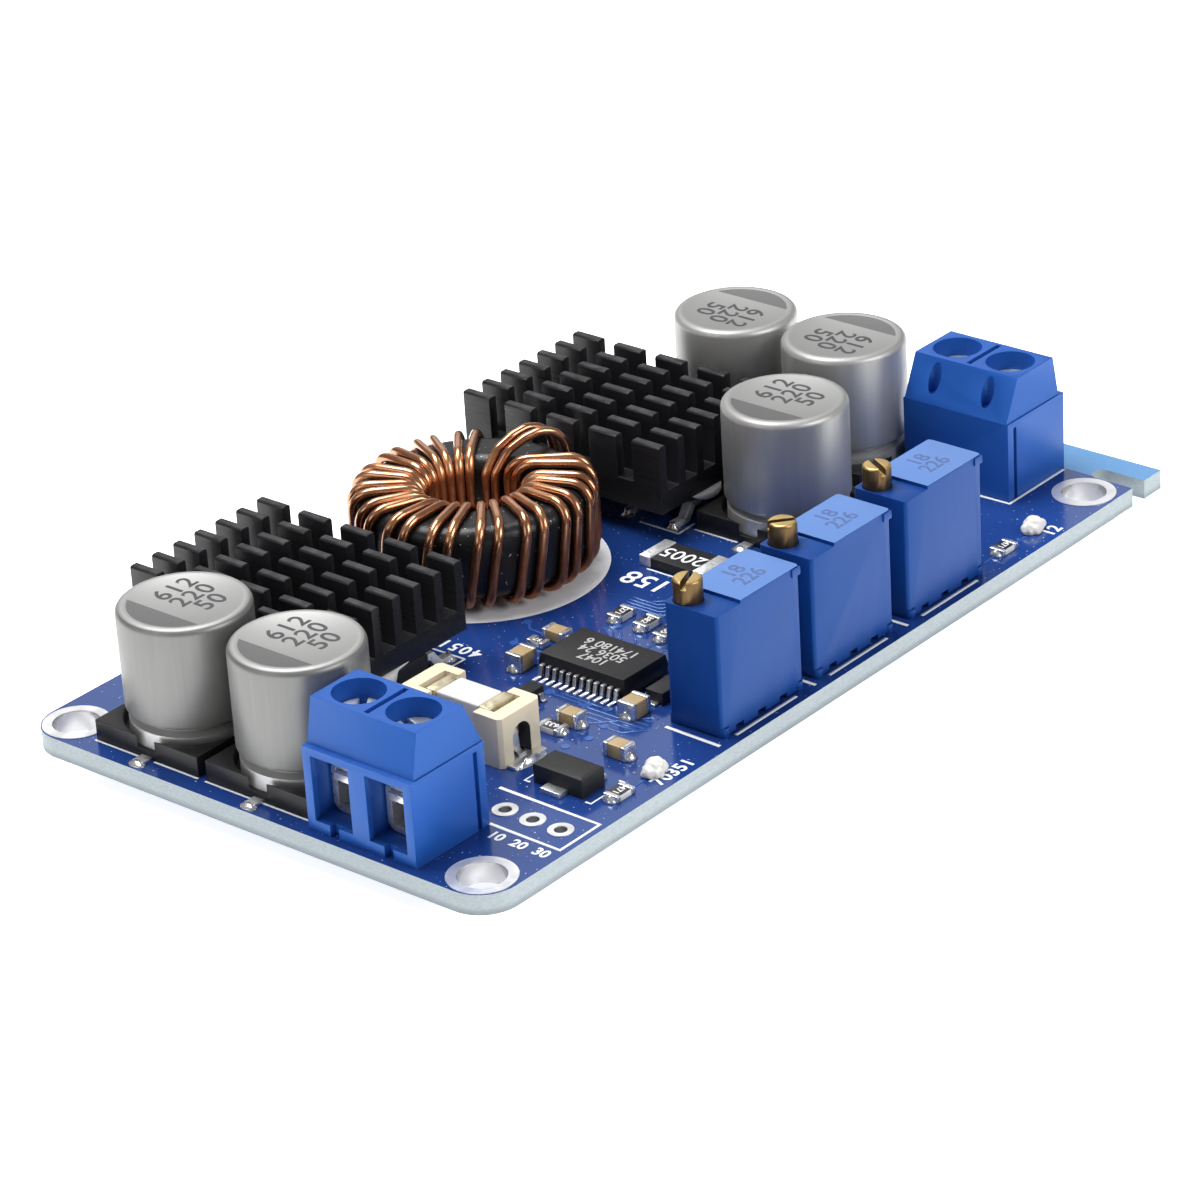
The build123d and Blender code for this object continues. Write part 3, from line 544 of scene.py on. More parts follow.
via_hole, via_edge, via_height = 0.14 * mm, 0.36 * mm, 0.045 * mm
via_outline = ((via_hole, 0), (via_edge, 0), (via_edge - 0.02 * mm, via_height), (via_hole, via_height))
via_ring = lathe("via_ring", via_outline, Vector(), 20)
via_spots = [
    (-13.2, -6.2), (-13.2, -9.9), (-12.8, -11.6), (-2.2, -3.7), (-2.2, -10.2), (-3.9, -12.1), (-3.9, -14.2),
    (1.5, -9.6), (1.5, -12.2), (3.4, -7.0), (4.6, -8.9), (5.6, -12.6), (7.2, -12.6), (8.8, -12.6),
    (-8.6, 1.1), (-5.4, 2.5), (-15.0, -13.0), (-17.0, -13.2), (-18.9, -12.6), (22.4, -10.6), (24.2, -14.4),
    (26.0, -14.4), (27.8, -14.4), (-25.4, -3.2), (-25.4, -5.4), (-25.4, -7.6), (12.2, -9.8), (12.2, -7.6),
]
vias = copies("board_vias", via_ring, [(x * mm, y * mm, board_top) for x, y in via_spots], track_skin)
settle(vias, "board_laminate", track_skin)


# ---- Plated rings -------------------------------------------------------------
# Bare tin-plated copper lands round the four screw holes and the three header holes,
# each with its plated barrel through the board; etched, drilled and dipped.
def metal(name, colour, rough, patch=0.0012, spread=0.12, shine=0.82):
    """A plated or drawn metal whose polish varies in soft patches."""
    skin = Finish(name, Metallic=shine)
    dull = tuple(part * 0.82 for part in colour)
    cloud = skin.grain(patch, 3.0)
    skin.set("Base Color", skin.between(dull, colour, skin.span(cloud, 0.35, 0.6)))
    skin.set("Roughness", skin.span(cloud, 0.3, 0.7, rough - spread / 2, rough + spread / 2))
    return skin


plating = metal("tin_plating", (0.84, 0.84, 0.85), 0.34, shine=0.55)
wall_plating = metal("barrel_plating", (0.50, 0.50, 0.51), 0.2)
wear(nodes["mounting_pads"], plating)


def barrel(name, radius, places):
    """Plated walls of a set of equal holes, from face to face of the board."""
    bore = radius - 0.03 * mm
    wall = ((radius, 0), (radius, board_top), (bore, board_top), (bore, 0), (radius, 0))
    return copies(name, lathe(name, wall, Vector(), 48), places, wall_plating)


pin_pitch = 2.54
screw_holes = [(x * mm, y * mm, 0) for x in (-36.1, 36.1) for y in (-19.7, 19.7)]
header_holes = [(-28.31 * mm, (-17.58 + pin_pitch * n) * mm, 0) for n in (-1, 0, 1)]
settle(barrel("screw_hole_barrels", 1.8 * mm, screw_holes), "plated_ring", wall_plating)
settle(barrel("header_hole_barrels", 0.5 * mm, header_holes), "plated_ring", wall_plating)


# ---- Power transistors --------------------------------------------------------
# Moulded black packages in pairs under each heatsink, their leads formed down to the
# board, the heat tab soldered flat; pale adhesive is squeezed out under the heatsink.
def dressed_copy(node, edge, steps=2):
    """A copy of a solid, welded and joined flat, with its edges rounded by so many millimetres."""
    name = node + "_soft"
    shape = bmesh.new()
    shape.from_mesh(nodes[node].data)
    bmesh.ops.remove_doubles(shape, verts=shape.verts, dist=0.002 * mm)
    bmesh.ops.dissolve_limit(shape, angle_limit=radians(1), verts=shape.verts, edges=shape.edges)
    mesh = as_mesh(name, shape, outward=False)
    mesh.shade_smooth()
    carrier = new_piece(name, mesh)
    soft = carrier.modifiers.new("soft edges", "BEVEL")
    soft.width = edge * mm
    soft.segments = steps
    soft.limit_method = "ANGLE"
    soft.angle_limit = radians(25)
    soft.harden_normals = True
    return new_piece(name, plain_mesh(carrier))


def dress(node, edge, slot, finish, steps=2, body="module"):
    """Puts a softened copy in the place of a solid."""
    settle(dressed_copy(node, edge, steps), slot, finish, node, body=body)


moulding = Finish("moulded_black", Roughness=0.50, Specular_IOR_Level=0.3)
moulding.mottled((0.012, 0.012, 0.013), (0.022, 0.022, 0.024), 0.0007)
moulding.relief(moulding.grain(0.00012, 4.0), 0.000006)
lead_tin = metal("lead_tin", (0.82, 0.82, 0.83), 0.28)
formed_tin = metal("formed_tin", (0.92, 0.92, 0.92), 0.30, shine=0.45)
for end in ("input", "output"):
    dress(f"mosfets_{end}", 0.06, "package_black", moulding)
    dress(f"mosfet_leads_{end}", 0.05, "tinned_lead", formed_tin)

adhesive = Finish("pale_adhesive", Roughness=0.5)
adhesive.mottled((0.62, 0.62, 0.60), (0.80, 0.80, 0.78), 0.0009, 3.0)
adhesive.relief(adhesive.grain(0.0005, 4.0), 0.00008)
bond_front, bond_top = 2.3 * mm, 4.22 * mm
drop_squash, drop_forward = 0.85, 0.1
drops = (  # end, where the drop starts, (distance along the edge, half depth) pairs in mm
    ("input", -22.9, (
        (0, 0.05), (0.3, 0.42), (0.9, 0.62), (1.6, 0.64), (2.2, 0.50), (2.55, 0.24), (2.8, 0.13), (4.0, 0.03),
    )),
    ("output", 14.4, (
        (0, 0.03), (0.6, 0.22), (1.3, 0.38), (2.0, 0.47), (2.7, 0.48), (3.2, 0.38), (3.5, 0.06),
    )),
)


def join_rings(shape, rings):
    """Joins equal rings of corners into one closed shape."""
    for near, far in zip(rings, rings[1:]):
        for n in range(len(near)):
            m = (n + 1) % len(near)
            shape.faces.new((near[n], near[m], far[m], far[n]))
    shape.faces.new(rings[0])
    shape.faces.new(rings[-1])


def squeezed_drop(shape, start, sections, steps=20):
    """A drop hanging from the heatsink's lower front edge, built from oval sections."""
    rings = []
    for along, half in sections:
        ring = []
        for n in range(steps):
            turn = 2 * pi * n / steps
            side = bond_front + (drop_squash * half * cos(turn) - drop_forward) * mm
            ring.append(shape.verts.new(((start + along) * mm, side, bond_top + half * (sin(turn) - 1) * mm)))
        rings.append(ring)
    join_rings(shape, rings)


for end, start, sections in drops:
    bond = dressed_copy(f"thermal_bond_{end}", 0.1)
    shape = bmesh.new()
    shape.from_mesh(bond.data)
    straight_bead = [v for v in shape.verts if v.co.y < bond_front + 0.3 * mm]
    bmesh.ops.delete(shape, geom=straight_bead, context="VERTS")
    squeezed_drop(shape, start, sections)
    bmesh.ops.recalc_face_normals(shape, faces=shape.faces)
    shape.to_mesh(bond.data)
    shape.free()
    bond.data.shade_smooth()
    bond.data.set_sharp_from_angle(angle=radians(50))
    settle(bond, "bond_grey", adhesive, f"thermal_bond_{end}")


# ---- Heatsinks ----------------------------------------------------------------
# Extruded aluminium bar with seven fins, milled across into rows of pins and black
# anodised; the saw and die leave fine lines along the fins; pin tips get a painted highlight.
anodised = Finish("black_anodised", Specular_IOR_Level=0.28)
drawn_lines = anodised.grain(0.00016, 2.0, (1, 0.03, 1))
pin_tip = 9.86 * mm
# Painted highlight: the base colour is lightened in a thin band just under the pin tips, broken up by noise.
painted_highlight_band = anodised.span(anodised.part(2), pin_tip - 0.12 * mm, pin_tip)
highlight_breakup = anodised.span(anodised.grain(0.0012, 4.0), 0.45, 0.75)
painted_tip_highlight = painted_highlight_band * highlight_breakup * 0.35
anodised.set("Base Color", anodised.between((0.015, 0.015, 0.017), (0.14, 0.14, 0.15), painted_tip_highlight))
anodised.set("Roughness", anodised.span(drawn_lines, 0.3, 0.7, 0.26, 0.44))
anodised.relief(drawn_lines, 0.00001)
for end in ("input", "output"):
    dress(f"heatsink_{end}", 0.05, "sink_anodised", anodised)


# ---- Inductor -----------------------------------------------------------------
# Pressed powder ring with a dark coating, wound by hand with two enamelled copper
# wires laid side by side; their start arches over the finished turns into the eye.
core_skin = Finish("core_coating", Roughness=0.34, Specular_IOR_Level=0.35)
coating = core_skin.between((0.006, 0.006, 0.007), (0.014, 0.014, 0.015), core_skin.grain(0.0009))
core_skin.set("Base Color", core_skin.between(coating, (0.7, 0.7, 0.7), core_skin.specks(0.00028, 0.7)))
core_skin.relief(core_skin.grain(0.00035, 4.0), 0.00003)
core_out, core_in = 9.0 * mm, 4.3 * mm
core_low, core_high = 1.14 * mm, 6.0 * mm
core_rim = 1.2 * mm


def ring_outline():
    """Section of the core: straight walls joined by four rounded rims."""
    low = board_top + core_low
    rims = (
        (core_out - core_rim, low + core_rim, -90),
        (core_out - core_rim, low + core_high - core_rim, 0),
        (core_in + core_rim, low + core_high - core_rim, 90),
        (core_in + core_rim, low + core_rim, 180),
    )
    points = []
    for radius, height, start in rims:
        for n in range(7):
            turn = radians(start + 15 * n)
            points.append((radius + core_rim * cos(turn), height + core_rim * sin(turn)))
    return points + points[:1]


core = new_piece("inductor_ring", lathe("inductor_ring", ring_outline(), coil_centre, 96))
settle(core, "core_coated", core_skin, "inductor_core")

# the winding: angles in degrees round the eye, from the board's long direction
wire_radius, wire_gap = 0.37 * mm, 0.03 * mm
wire_bend = core_rim + wire_radius + wire_gap
turns, turn_first, turn_step = 13, 43.4, 23.3
pair_outer, pair_inner = 9.3, 11.65  # between the two strands, outside the ring and in the eye
last_inner, last_spread = 350.6, 13.4
lead_in, lead_in_inner, lead_out = 354.8, 21.5, 10.0
lead_in_free, lead_turn_in = 0.22 * mm, 6.0 * mm
lead_arch = (  # radius in mm, degrees past the start, height in mm
    (9.3, 0.5, 7.6), (8.5, 2.5, 8.45), (7.4, 5.5, 8.75), (6.2, 10.0, 8.45), (5.0, 17.5, 7.7),
)
pin_reach = 1.2 * mm


def on_coil(radius, angle, height):
    """A place at a radius and an angle round the eye, at a height above the board."""
    turn = radians(angle)
    return coil_centre + Vector((radius * cos(turn), radius * sin(turn), board_top + height))


def strand_path(side):
    """Corner points of one strand's centre line, side -0.5 or +0.5 of the pair."""
    outer = side * pair_outer
    inner = side * pair_inner
    run_out = core_out + wire_radius + wire_gap
    run_in = core_in - wire_radius - wire_gap
    low = core_low - wire_radius
    high = core_low + core_high + wire_radius + wire_gap / 3
    below = -board_top - pin_reach
    start = run_out + lead_in_free
    path = [
        on_coil(start, lead_in + outer, below),
        on_coil(start, lead_in + outer, lead_turn_in),
    ]
    for radius, past, height in lead_arch:
        share = (start - radius * mm) / (start - run_in)
        angle = lead_in + past + outer + (inner - outer) * share
        path.append(on_coil(radius * mm, angle, height * mm))
    path += [
        on_coil(run_in, lead_in_inner + inner, lead_turn_in),
        on_coil(run_in, lead_in_inner + inner, low),
    ]
    for turn in range(turns):
        angle = turn_first + turn * turn_step
        drawn = angle + turn_step / 3 + inner
        if turn == turns - 1:
            drawn = last_inner + side * last_spread
        path += [
            on_coil(run_out, angle - turn_step / 3 + outer, low),
            on_coil(run_out, angle + outer, high),
            on_coil(run_in, drawn, high),
            on_coil(run_in, drawn, low),
        ]
    path += [
        on_coil(run_out, lead_out + outer, low),
        on_coil(run_out, lead_out + outer, below),
    ]
    return path


wire_group, entry, leave = add_modifier_group(
    "bent wire",
    (
        ("Bend", "NodeSocketFloat", 0.001),
        ("Radius", "NodeSocketFloat", 0.0004),
        ("Sides", "NodeSocketInt", 16),
        ("Material", "NodeSocketMaterial", None),
    ),
)
bent = chain(
    wire_group, "GeometryNodeFilletCurve",
    {"Curve": entry, "Radius": entry.outputs["Bend"], "Count": 7, "Limit Radius": True},
    mode="POLY",
)
section = chain(
    wire_group, "GeometryNodeCurvePrimitiveCircle",
    {"Resolution": entry.outputs["Sides"], "Radius": entry.outputs["Radius"]},
)
drawn_wire = chain(
    wire_group, "GeometryNodeCurveToMesh",
    {"Curve": bent, "Profile Curve": section, "Fill Caps": True},
)
end_group(wire_group, entry, leave, chain(wire_group, "GeometryNodeSetShadeSmooth", {"Geometry": drawn_wire}))

enamel = Finish("copper_enamel", Metallic=0.95, Coat_Roughness=0.10, Coat_IOR=1.6)
shade = enamel.grain(0.0035, 2.0)
# Painted light and shade: the wires are painted lighter copper high on the coil and darker brown low down;
# the same height mask also sets roughness and coat.
upward = enamel.span(enamel.part(2), 5.5 * mm, 8.0 * mm)
lower_painted_shade = enamel.between((0.28, 0.100, 0.048), (0.42, 0.165, 0.080), enamel.span(shade, 0.35, 0.65))
upper_painted_light = enamel.between((0.46, 0.185, 0.085), (0.66, 0.315, 0.150), enamel.span(shade, 0.35, 0.65))
enamel.set("Base Color", enamel.between(lower_painted_shade, upper_painted_light, upward))
enamel.set("Roughness", enamel.span(shade, 0.3, 0.7, 0.20, 0.30) + enamel.span(upward, 0, 1, 0.16, 0.0))
enamel.set("Coat Weight", enamel.span(upward, 0, 1, 0.3, 0.75))
for letter, side in (("a", -0.5), ("b", 0.5)):
    carrier = path_object(f"wire_{letter}", [strand_path(side)])
    values = {"Bend": wire_bend, "Radius": wire_radius, "Sides": 16, "Material": enamel.material}
    wire = new_piece(f"wire_{letter}", grow(carrier, wire_group, values))
    settle(wire, "winding_enamel", enamel, f"winding_strand_{letter}")


# ---- Capacitors ---------------------------------------------------------------
# Drawn aluminium cans crimped on a rubber bung, each standing in a moulded black
# base with corner posts and flat tinned leads; a printed segment marks the negative side.
can_radius, can_rim = 5.0 * mm, 0.55 * mm
foot_radius, crimp_radius = 4.8 * mm, 4.36 * mm
face_radius = 4.15 * mm
segment_edge = 2.15 * mm  # from the can's middle to the straight side of the printed segment


def can_skin(number, centre, positive):
    """Satin aluminium with the printed segment on the side away from the positive lead."""
    skin = Finish(f"can_skin_{number}")
    inward = (skin.part(0) - centre.x) * -positive
    across = skin.part(1) - centre.y
    top_face = skin.facing(2) > 0.8
    disc = inward * inward + across * across < face_radius ** 2
    printed = (inward > segment_edge) * disc * top_face
    waves = {"Vector": skin.place, "Scale": 1900.0}
    hatch = skin.node("ShaderNodeTexWave", {"bands_direction": "Y"}, waves, 1)
    wall_tone_painted_shade = 0.20 if positive > 0 and centre.x < 0 else 0.40  # painted shade: the pair at the input end gets a darker wall tone
    drawn = skin.grain(0.0004, 3.0, (1, 1, 0.05))
    wall = skin.between((wall_tone_painted_shade, wall_tone_painted_shade, wall_tone_painted_shade * 0.97), (wall_tone_painted_shade * 1.2, wall_tone_painted_shade * 1.2, wall_tone_painted_shade * 1.17), drawn)
    foot_zone = skin.part(2) < board_top + 2.1 * mm
    satin = skin.between(wall, (0.60, 0.60, 0.59), foot_zone)
    bare = skin.between(satin, (0.35, 0.35, 0.345), top_face)
    print_grey = skin.between((0.11, 0.11, 0.11), (0.17, 0.17, 0.17), hatch)
    skin.set("Base Color", skin.between(bare, print_grey, printed))
    skin.set("Metallic", skin.span(printed, 0, 1, 0.6, 0.3))
    skin.set("Roughness", skin.span(top_face, 0, 1, 0.42, 0.50))
    return skin


def can_outline(foot, top):
    """Half section of a can: rolled foot, crimp, wall, rounded rim and a sunk face."""
    outline = [
        (0, foot), (foot_radius, foot), (foot_radius, foot + 1.3 * mm),
        (crimp_radius, foot + 1.62 * mm), (crimp_radius, foot + 1.72 * mm),
        (can_radius - 0.1 * mm, foot + 2.02 * mm), (can_radius, foot + 2.2 * mm),
    ]
    for n in range(9):
        turn = radians(90 * n / 8)
        outline.append((can_radius - can_rim + can_rim * cos(turn), top - can_rim + can_rim * sin(turn)))
    face = top - 0.06 * mm
    return outline + [(face_radius + 0.1 * mm, top - 0.01 * mm), (face_radius, face), (0, face)]


mark_ink = Finish("grey_ink", Roughness=0.6)
mark_ink.mottled((0.035, 0.035, 0.037), (0.075, 0.075, 0.078), 0.0003)
base_skin = Finish("base_moulding", Roughness=0.40, Specular_IOR_Level=0.3)
base_skin.mottled((0.008, 0.008, 0.009), (0.015, 0.015, 0.016), 0.002)
for number, positive in enumerate((1, 1, 1, -1, -1), 1):
    low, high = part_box(f"capacitor_can_{number}")
    centre = Vector(((low.x + high.x) / 2, (low.y + high.y) / 2, 0))
    can = new_piece(f"can_{number}", lathe(f"can_{number}", can_outline(low.z, high.z), centre, 96))
    settle(can, "can_aluminium", can_skin(number, centre, positive), f"capacitor_can_{number}")
    dress(f"capacitor_base_{number}", 0.12, "can_base", base_skin)
    place = centre + Vector((positive * 1.0 * mm, 0, high.z - 0.055 * mm))
    turn = 0 if positive > 0 else 180
    face = figures(f"can_figures_{number}", "612\n220\n50", place, 1.65 * mm, turn, 0.06 * mm, 1.12)
    settle(face, "can_aluminium", mark_ink)
dress("capacitor_leads", 0.05, "tinned_lead", lead_tin)


# ---- Screw terminals ----------------------------------------------------------
# Two-pole housings moulded in blue polyamide; each pole has a nickel-plated screw in
# its well, a folded steel cage that the screw raises, and a tinned contact bar.
terminal_skin = Finish(
    "terminal_blue", Roughness=0.36, Specular_IOR_Level=0.55, Specular_Tint=(0.30, 0.58, 1.0),
)
terminal_skin.mottled((0.012, 0.078, 0.35), (0.018, 0.094, 0.41), 0.004)
terminal_skin.relief(terminal_skin.grain(0.0005), 0.000006)
nickel = metal("nickel_plate", (0.85, 0.85, 0.84), 0.34)
strap = metal("cage_strap", (0.70, 0.71, 0.72), 0.30)
for end in ("input", "output"):
    dress(f"terminal_housing_{end}", 0.10, "terminal_blue", terminal_skin, 3)
for n in range(1, 5):
    dress(f"terminal_screw_{n}", 0.05, "screw_nickel", nickel, body=f"clamp_screw_{n}")
    dress(f"terminal_cage_{n}", 0.06, "cage_steel", strap, body=f"clamp_cage_{n}")
dress("terminal_contacts", 0.05, "tinned_lead", lead_tin)


# ---- Trimmers -----------------------------------------------------------------
# Square multi-turn trimmers moulded in blue thermoset, with corner feet, a stepped
# top, printed figures and a slotted brass adjusting screw.
trimmer_skin = Finish(
    "trimmer_blue", Roughness=0.42, Specular_IOR_Level=0.45, Specular_Tint=(0.25, 0.55, 1.0),
)
moulded = trimmer_skin.between((0.003, 0.037, 0.20), (0.006, 0.046, 0.24), trimmer_skin.grain(0.003))
# Painted sheen: the upward faces of the raised top get a paler blue that stands in for glare.
raised_top_painted_sheen = (trimmer_skin.part(2) > board_top + 9.9 * mm) * (trimmer_skin.facing(2) > 0.7)
trimmer_skin.set("Base Color", trimmer_skin.between(moulded, (0.115, 0.215, 0.50), raised_top_painted_sheen))
trimmer_skin.relief(trimmer_skin.grain(0.00035, 3.0), 0.000008)
brass = Finish("turned_brass", Metallic=0.85, Roughness=0.34)
# Painted light with some wear: upward faces are painted light brass and the sides dark brown, with noise for
# uneven wear.
worn = brass.span(brass.facing(2) * 0.6 + brass.grain(0.0006) * 0.4, 0.45, 0.7)
brass.set("Base Color", brass.between((0.16, 0.10, 0.045), (0.64, 0.45, 0.18), worn))
faded_ink = Finish("faded_ink", Roughness=0.6)
faded_ink.mottled((0.05, 0.09, 0.22), (0.09, 0.15, 0.36), 0.0003)
figures_in, figures_off = 6.1 * mm, 0.1 * mm
for n in range(1, 4):
    dress(f"trimmer_body_{n}", 0.14, "trimmer_blue", trimmer_skin, 3)
    low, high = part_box(f"trimmer_body_{n}")
    place = Vector((low.x + figures_in, (low.y + high.y) / 2 + figures_off, high.z))
    face = figures(f"trimmer_figures_{n}", "18\n226", place, 1.35 * mm, 0, 0.05 * mm)
    settle(face, "trimmer_blue", faded_ink)
    dress(f"trimmer_screw_{n}", 0.06, "adjust_brass", brass, body=f"adjuster_{n}")
wear(nodes["trimmer_pins"], lead_tin)


# ---- Fuse and holder ----------------------------------------------------------
# Cream thermoplastic holder, open in the middle, with tinned spring clips under an
# arch at each end; the fuse is a square white ceramic tube with plated brass caps.
cream = Finish("cream_moulding", Roughness=0.45, Subsurface_Weight=0.1, Subsurface_Scale=0.0008)
holder_x, holder_y = -21.85 * mm, -6.4 * mm
arch_half, arch_inner, arch_outer, arch_top = 0.96 * mm, 3.35 * mm, 4.74 * mm, board_top + 2.95 * mm
# Painted shade: the inner faces under each end arch are painted near black.
from_middle = abs(cream.part(1) - holder_y)
under_arch = (abs(cream.part(0) - holder_x) < arch_half) * (cream.part(2) < arch_top)
painted_arch_shade = under_arch * (from_middle > arch_inner) * (from_middle < arch_outer)
moulded = cream.between((0.74, 0.65, 0.46), (0.82, 0.73, 0.54), cream.grain(0.0015))
cream.set("Base Color", cream.between(moulded, (0.045, 0.045, 0.06), painted_arch_shade))
ceramic = Finish("white_ceramic", Roughness=0.38)
ceramic.mottled((0.66, 0.655, 0.63), (0.74, 0.73, 0.715), 0.001)
ceramic.relief(ceramic.grain(0.0002, 3.0), 0.000006)
cap_plate = metal("cap_plating", (0.74, 0.66, 0.46), 0.36, 0.0006, 0.2)
dress("fuse_holder", 0.14, "fuse_cream", cream, 3)
dress("fuse_body", 0.16, "fuse_ceramic", ceramic, 3)
dress("fuse_caps", 0.12, "fuse_cap_plate", cap_plate)
# Painted shade: the clip plates inside the arches are painted near black.
clip_tin_painted_shade = Finish("clip_tin_painted_shade", Metallic=0.8, Roughness=0.3)
from_middle = abs(clip_tin_painted_shade.part(1) - holder_y)
painted_clip_shade = (from_middle > 3.2 * mm) * (from_middle < 3.4 * mm)
clip_tin_painted_shade.set("Base Color", clip_tin_painted_shade.between((0.82, 0.82, 0.83), (0.03, 0.03, 0.045), painted_clip_shade))
dress("fuse_clips", 0.05, "tinned_lead", clip_tin_painted_shade)


def folded_strip(shape, centre, outline, width, thick):
    """A strip bent along (y, z) points beside a place, as wide as given along x."""
    back = [(y, z + thick) for y, z in outline[:2]] + [(y + thick, z) for y, z in outline[2:]]
    corners = list(outline) + list(reversed(back))
    join_rings(shape, [
        [shape.verts.new(centre + Vector((half * width / 2, y, z))) for y, z in corners] for half in (-1, 1)
    ])


bend = ((-4.75, 0.27), (-4.35, 0.27), (-4.15, 0.75), (-4.05, 1.7), (-3.8, 2.35))
tongue = [(y * mm, z * mm) for y, z in bend]
holder_place = Vector((holder_x, holder_y, board_top))
tongues = bmesh.new()
folded_strip(tongues, holder_place, tongue, 0.8 * mm, 0.16 * mm)
bmesh.ops.rotate(tongues, verts=tongues.verts, cent=holder_place, matrix=Matrix.Rotation(pi, 3, "Z"))
folded_strip(tongues, holder_place, tongue, 0.8 * mm, 0.16 * mm)
settle(new_piece("clip_tongues", as_mesh("clip_tongues", tongues)), "tinned_lead", lead_tin)


# ---- Controller ---------------------------------------------------------------
# Moulded package with twelve formed leads on each long side, a first-lead dimple and
# plain laser-marked figures that read along the board's width.
dress("controller_package", 0.05, "package_black", moulding)
dress("controller_leads", 0.02, "tinned_lead", lead_tin)
laser_mark = Finish("laser_mark", Roughness=0.6)
laser_mark.mottled((0.42, 0.42, 0.42), (0.56, 0.56, 0.55), 0.0002)
low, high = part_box("controller_package")
place = Vector(((low.x + high.x) / 2, (low.y + high.y) / 2, high.z))
words = "1047\n5036 24\n174180 6"
face = figures("controller_figures", words, place, 0.95 * mm, 90, 0.03 * mm)
settle(face, "package_black", laser_mark)


# ---- Small parts --------------------------------------------------------------
# Chip resistors and capacitors, the current-sense resistor and small leaded packages,
# all placed by machine; the two status lights sit under cloudy lumps of resin.
glaze = Finish("resistor_glaze", Coat_Weight=0.3)
on_top = glaze.facing(2) > 0.7
glaze.set("Base Color", glaze.between((0.80, 0.80, 0.77), (0.014, 0.014, 0.015), on_top))
glaze.set("Roughness", glaze.span(on_top, 0, 1, 0.55, 0.35))
tan_ceramic = Finish("fired_ceramic", Roughness=0.42)
tan_ceramic.mottled((0.36, 0.25, 0.12), (0.50, 0.37, 0.20), 0.001)
solder = metal("reflowed_solder", (0.76, 0.77, 0.79), 0.22, 0.0007, 0.16)
cloudy = Finish("cloudy_resin", Roughness=0.40, Subsurface_Weight=0.15, Subsurface_Scale=0.0004)
cloudy.mottled((0.66, 0.65, 0.62), (0.78, 0.77, 0.74), 0.0004)
coarse_tin = metal("coarse_tin", (0.90, 0.90, 0.90), 0.42, 0.0003)
coarse_tin.relief(coarse_tin.grain(0.00018, 3.0), 0.00005)
for node, edge, slot, skin in (
    ("shunt_body", 0.08, "chip_resistor_black", moulding),
    ("shunt_ends", 0.08, "tinned_lead", coarse_tin),
    ("chip_resistors", 0.05, "chip_resistor_black", glaze),
    ("chip_resistor_ends", 0.07, "solder_tin", solder),
    ("chip_capacitors", 0.08, "chip_ceramic_tan", tan_ceramic),
    ("chip_capacitor_ends", 0.09, "solder_tin", solder),
    ("small_packages", 0.05, "package_black", moulding),
    ("small_leads", 0.03, "tinned_lead", lead_tin),
):
    dress(node, edge, slot, skin)

resistors = (  # name of the mark, its figures, place, height of the top, turn
    ("figures_1", "271", -0.90, -2.97, 0.55, 180),
    ("figures_2", "382", -0.92, -5.53, 0.55, 180),
    ("figures_3", "105", -1.45, -7.85, 0.55, 180),
    ("figures_4", "633", -17.52, -10.25, 0.5, 90),
    ("figures_5", "471", -22.30, -20.42, 0.5, 180),
    ("figures_6", "471", 24.15, -20.42, 0.5, 180),
)
marks = [  # the same with the height of the figures, from the current-sense resistor to the smallest chip
    ("shunt_figures", "2005", 8.48, -1.56, 0.85, 90, 1.5),
    *[(*resistor, 0.55) for resistor in resistors],
    ("figures_7", "97", -7.81, -0.62, 0.45, 90, 0.5),
]
for name, words, x, y, top, turn, height in marks:
    place = Vector((x * mm, y * mm, board_top + top * mm))
    settle(figures(name, words, place, height * mm, turn, 0.02 * mm), "chip_resistor_black", ink)

lights = ((-18.37, -20.47), (28.29, -20.30))
blobs = (  # place from the light's middle and radius, in mm
    (0.1, 0.1, 0.45, 0.74), (-0.5, 0.1, 0.30, 0.60), (0.5, -0.1, 0.30, 0.58), (-0.2, -0.35, 0.25, 0.50),
)
lumps = bmesh.new()
for x, y in lights:
    for dx, dy, dz, reach in blobs:
        ball = bmesh.ops.create_icosphere(lumps, subdivisions=3, radius=reach * mm)
        for v in ball["verts"]:
            swell = 1 + 0.30 * noise.noise(v.co / mm * 2.8 + Vector((x, dx, dz)))
            v.co = v.co * swell + Vector(((x + dx) * mm, (y + dy) * mm, board_top + dz * mm))
            v.co.z = max(v.co.z, board_top + 0.005 * mm)
lump_carrier = new_piece("cloudy_lumps", as_mesh("cloudy_lumps", lumps, outward=False))
fused = lump_carrier.modifiers.new("fused", "REMESH")
fused.mode = "VOXEL"
fused.voxel_size = 0.05 * mm
lump_mesh = plain_mesh(lump_carrier)
lump_mesh.shade_smooth()
settle(new_piece("cloudy_lumps", lump_mesh), "led_resin", cloudy, "status_leds")


# ---- Solder -------------------------------------------------------------------
# Reflowed fillets climb the ends of the leads and chips on top; below, wave solder
# stands in a cone round every pin and wire end.
def mound(shape, centre, half_x, half_y, height, curve=1.9, crown=0.34, steps=24, rows=8):
    """A heap of solder with an oval foot, hollow-sided above a curve of 1 and domed below it."""
    rings = []
    for row in range(rows + 1):
        t = row / rows
        lift = height * (1 - t) ** curve
        ring = []
        for n in range(steps):
            turn = 2 * pi * n / steps
            reach = crown + (1 - crown) * t
            spot = Vector((half_x * reach * cos(turn), half_y * reach * sin(turn), lift))
            ring.append(shape.verts.new(centre + spot))
        rings.append(ring)
    join_rings(shape, rings)


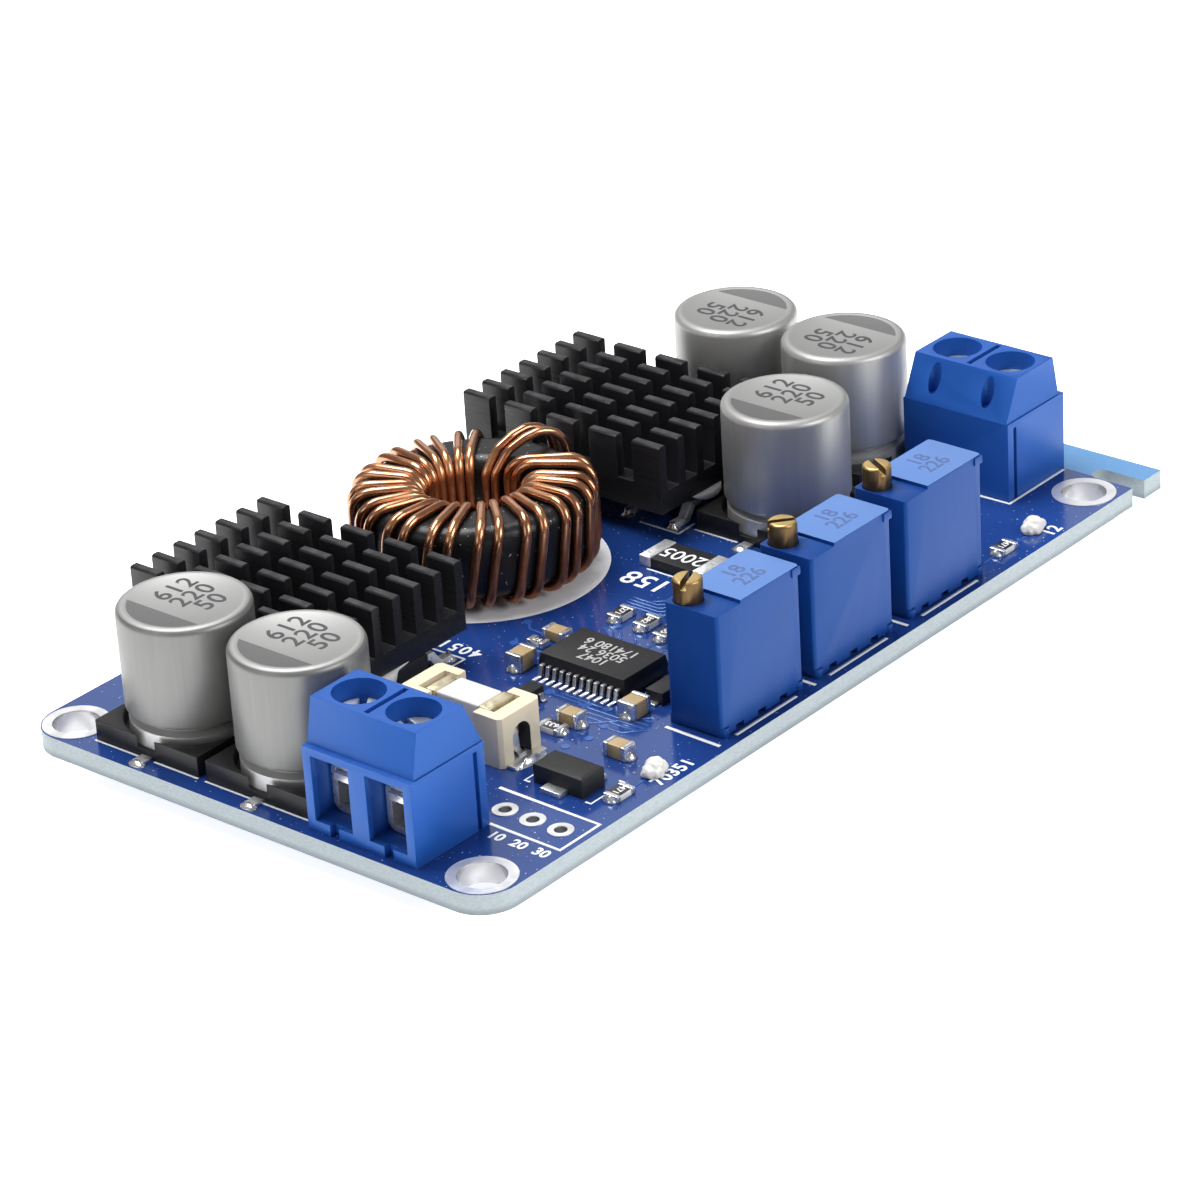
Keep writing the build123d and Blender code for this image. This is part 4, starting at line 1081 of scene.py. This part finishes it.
fillets = bmesh.new()
for number in range(1, 6):
    low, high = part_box(f"capacitor_base_{number}")
    middle = (low.y + high.y) / 2
    for tip in (low.x - 1.05 * mm, high.x + 1.05 * mm):
        mound(fillets, Vector((tip, middle, board_top)), 0.52 * mm, 0.80 * mm, 0.32 * mm, 0.7)
sink_x, sink_y = 16.5, 12.2
foot_inset, row_reach, foot_reach = 3.2, 6.45, 2.285
for outward in (-1, 1):
    tip = outward * (sink_x - foot_inset) * mm
    for row in (-1, 1):
        for side in (-1, 1):
            y = sink_y + row * row_reach + side * foot_reach
            mound(fillets, Vector((tip, y * mm, board_top)), 0.55 * mm, 0.62 * mm, 0.5 * mm)
for side in (-1, 1):
    tip = Vector((holder_x, holder_y + side * 5.5 * mm, board_top))
    mound(fillets, tip, 1.75 * mm, 0.5 * mm, 0.4 * mm)

# place of each chip, whether it lies across the board, and how high its solder climbs, in mm
chips = [(x, y, turn == 90, 0.5) for _, _, x, y, _, turn in resistors] + [
    (-6.22, -1.18, True, 0.55),
    (-11.20, -1.90, False, 0.6),
    (-15.95, -10.75, True, 0.6),
    (-12.30, -13.60, False, 0.65),
    (-17.71, -16.68, True, 0.6),
]
chip_end = 1.02  # from a chip's middle to the middle of its solder
for x, y, along_y, tall in chips:
    for side in (-1, 1):
        reach = Vector((0, side * chip_end, 0)) if along_y else Vector((side * chip_end, 0, 0))
        half_x, half_y = (0.58, 0.42) if along_y else (0.42, 0.58)
        spot = (Vector((x, y, 0)) + reach) * mm + Vector((0, 0, board_top))
        mound(fillets, spot, half_x * mm, half_y * mm, tall * mm, 0.55, 0.12)
fillet_mesh = as_mesh("solder_fillets", fillets)
fillet_mesh.shade_smooth()
settle(new_piece("solder_fillets", fillet_mesh), "solder_tin", solder, "solder_joints")

cone_outline = ((0, -0.85), (0.30, -0.85), (0.38, -0.55), (0.62, -0.22), (0.95, 0), (0, 0))
cone = lathe("solder_cone", [(radius * mm, height * mm) for radius, height in cone_outline], Vector(), 24)
first_pin, pin_row = 2.06, -20.21
pin_spots = [(x + first_pin + pin_pitch * n, pin_row) for x in (-11.79, -0.78, 10.68) for n in range(3)]
for x, y, facing in ((-34.25, -10.43, -1), (35.22, -10.78, 1)):
    pin_spots += [(x - facing * 2.0, y + side * pin_pitch) for side in (-1, 1)]
pin_places = [(x * mm, y * mm, 0) for x, y in pin_spots]
for side in (-0.5, 0.5):
    ends = strand_path(side)
    pin_places += [(ends[0].x, ends[0].y, 0), (ends[-1].x, ends[-1].y, 0)]
settle(copies("underside_solder", cone, pin_places, solder), "solder_tin", solder)
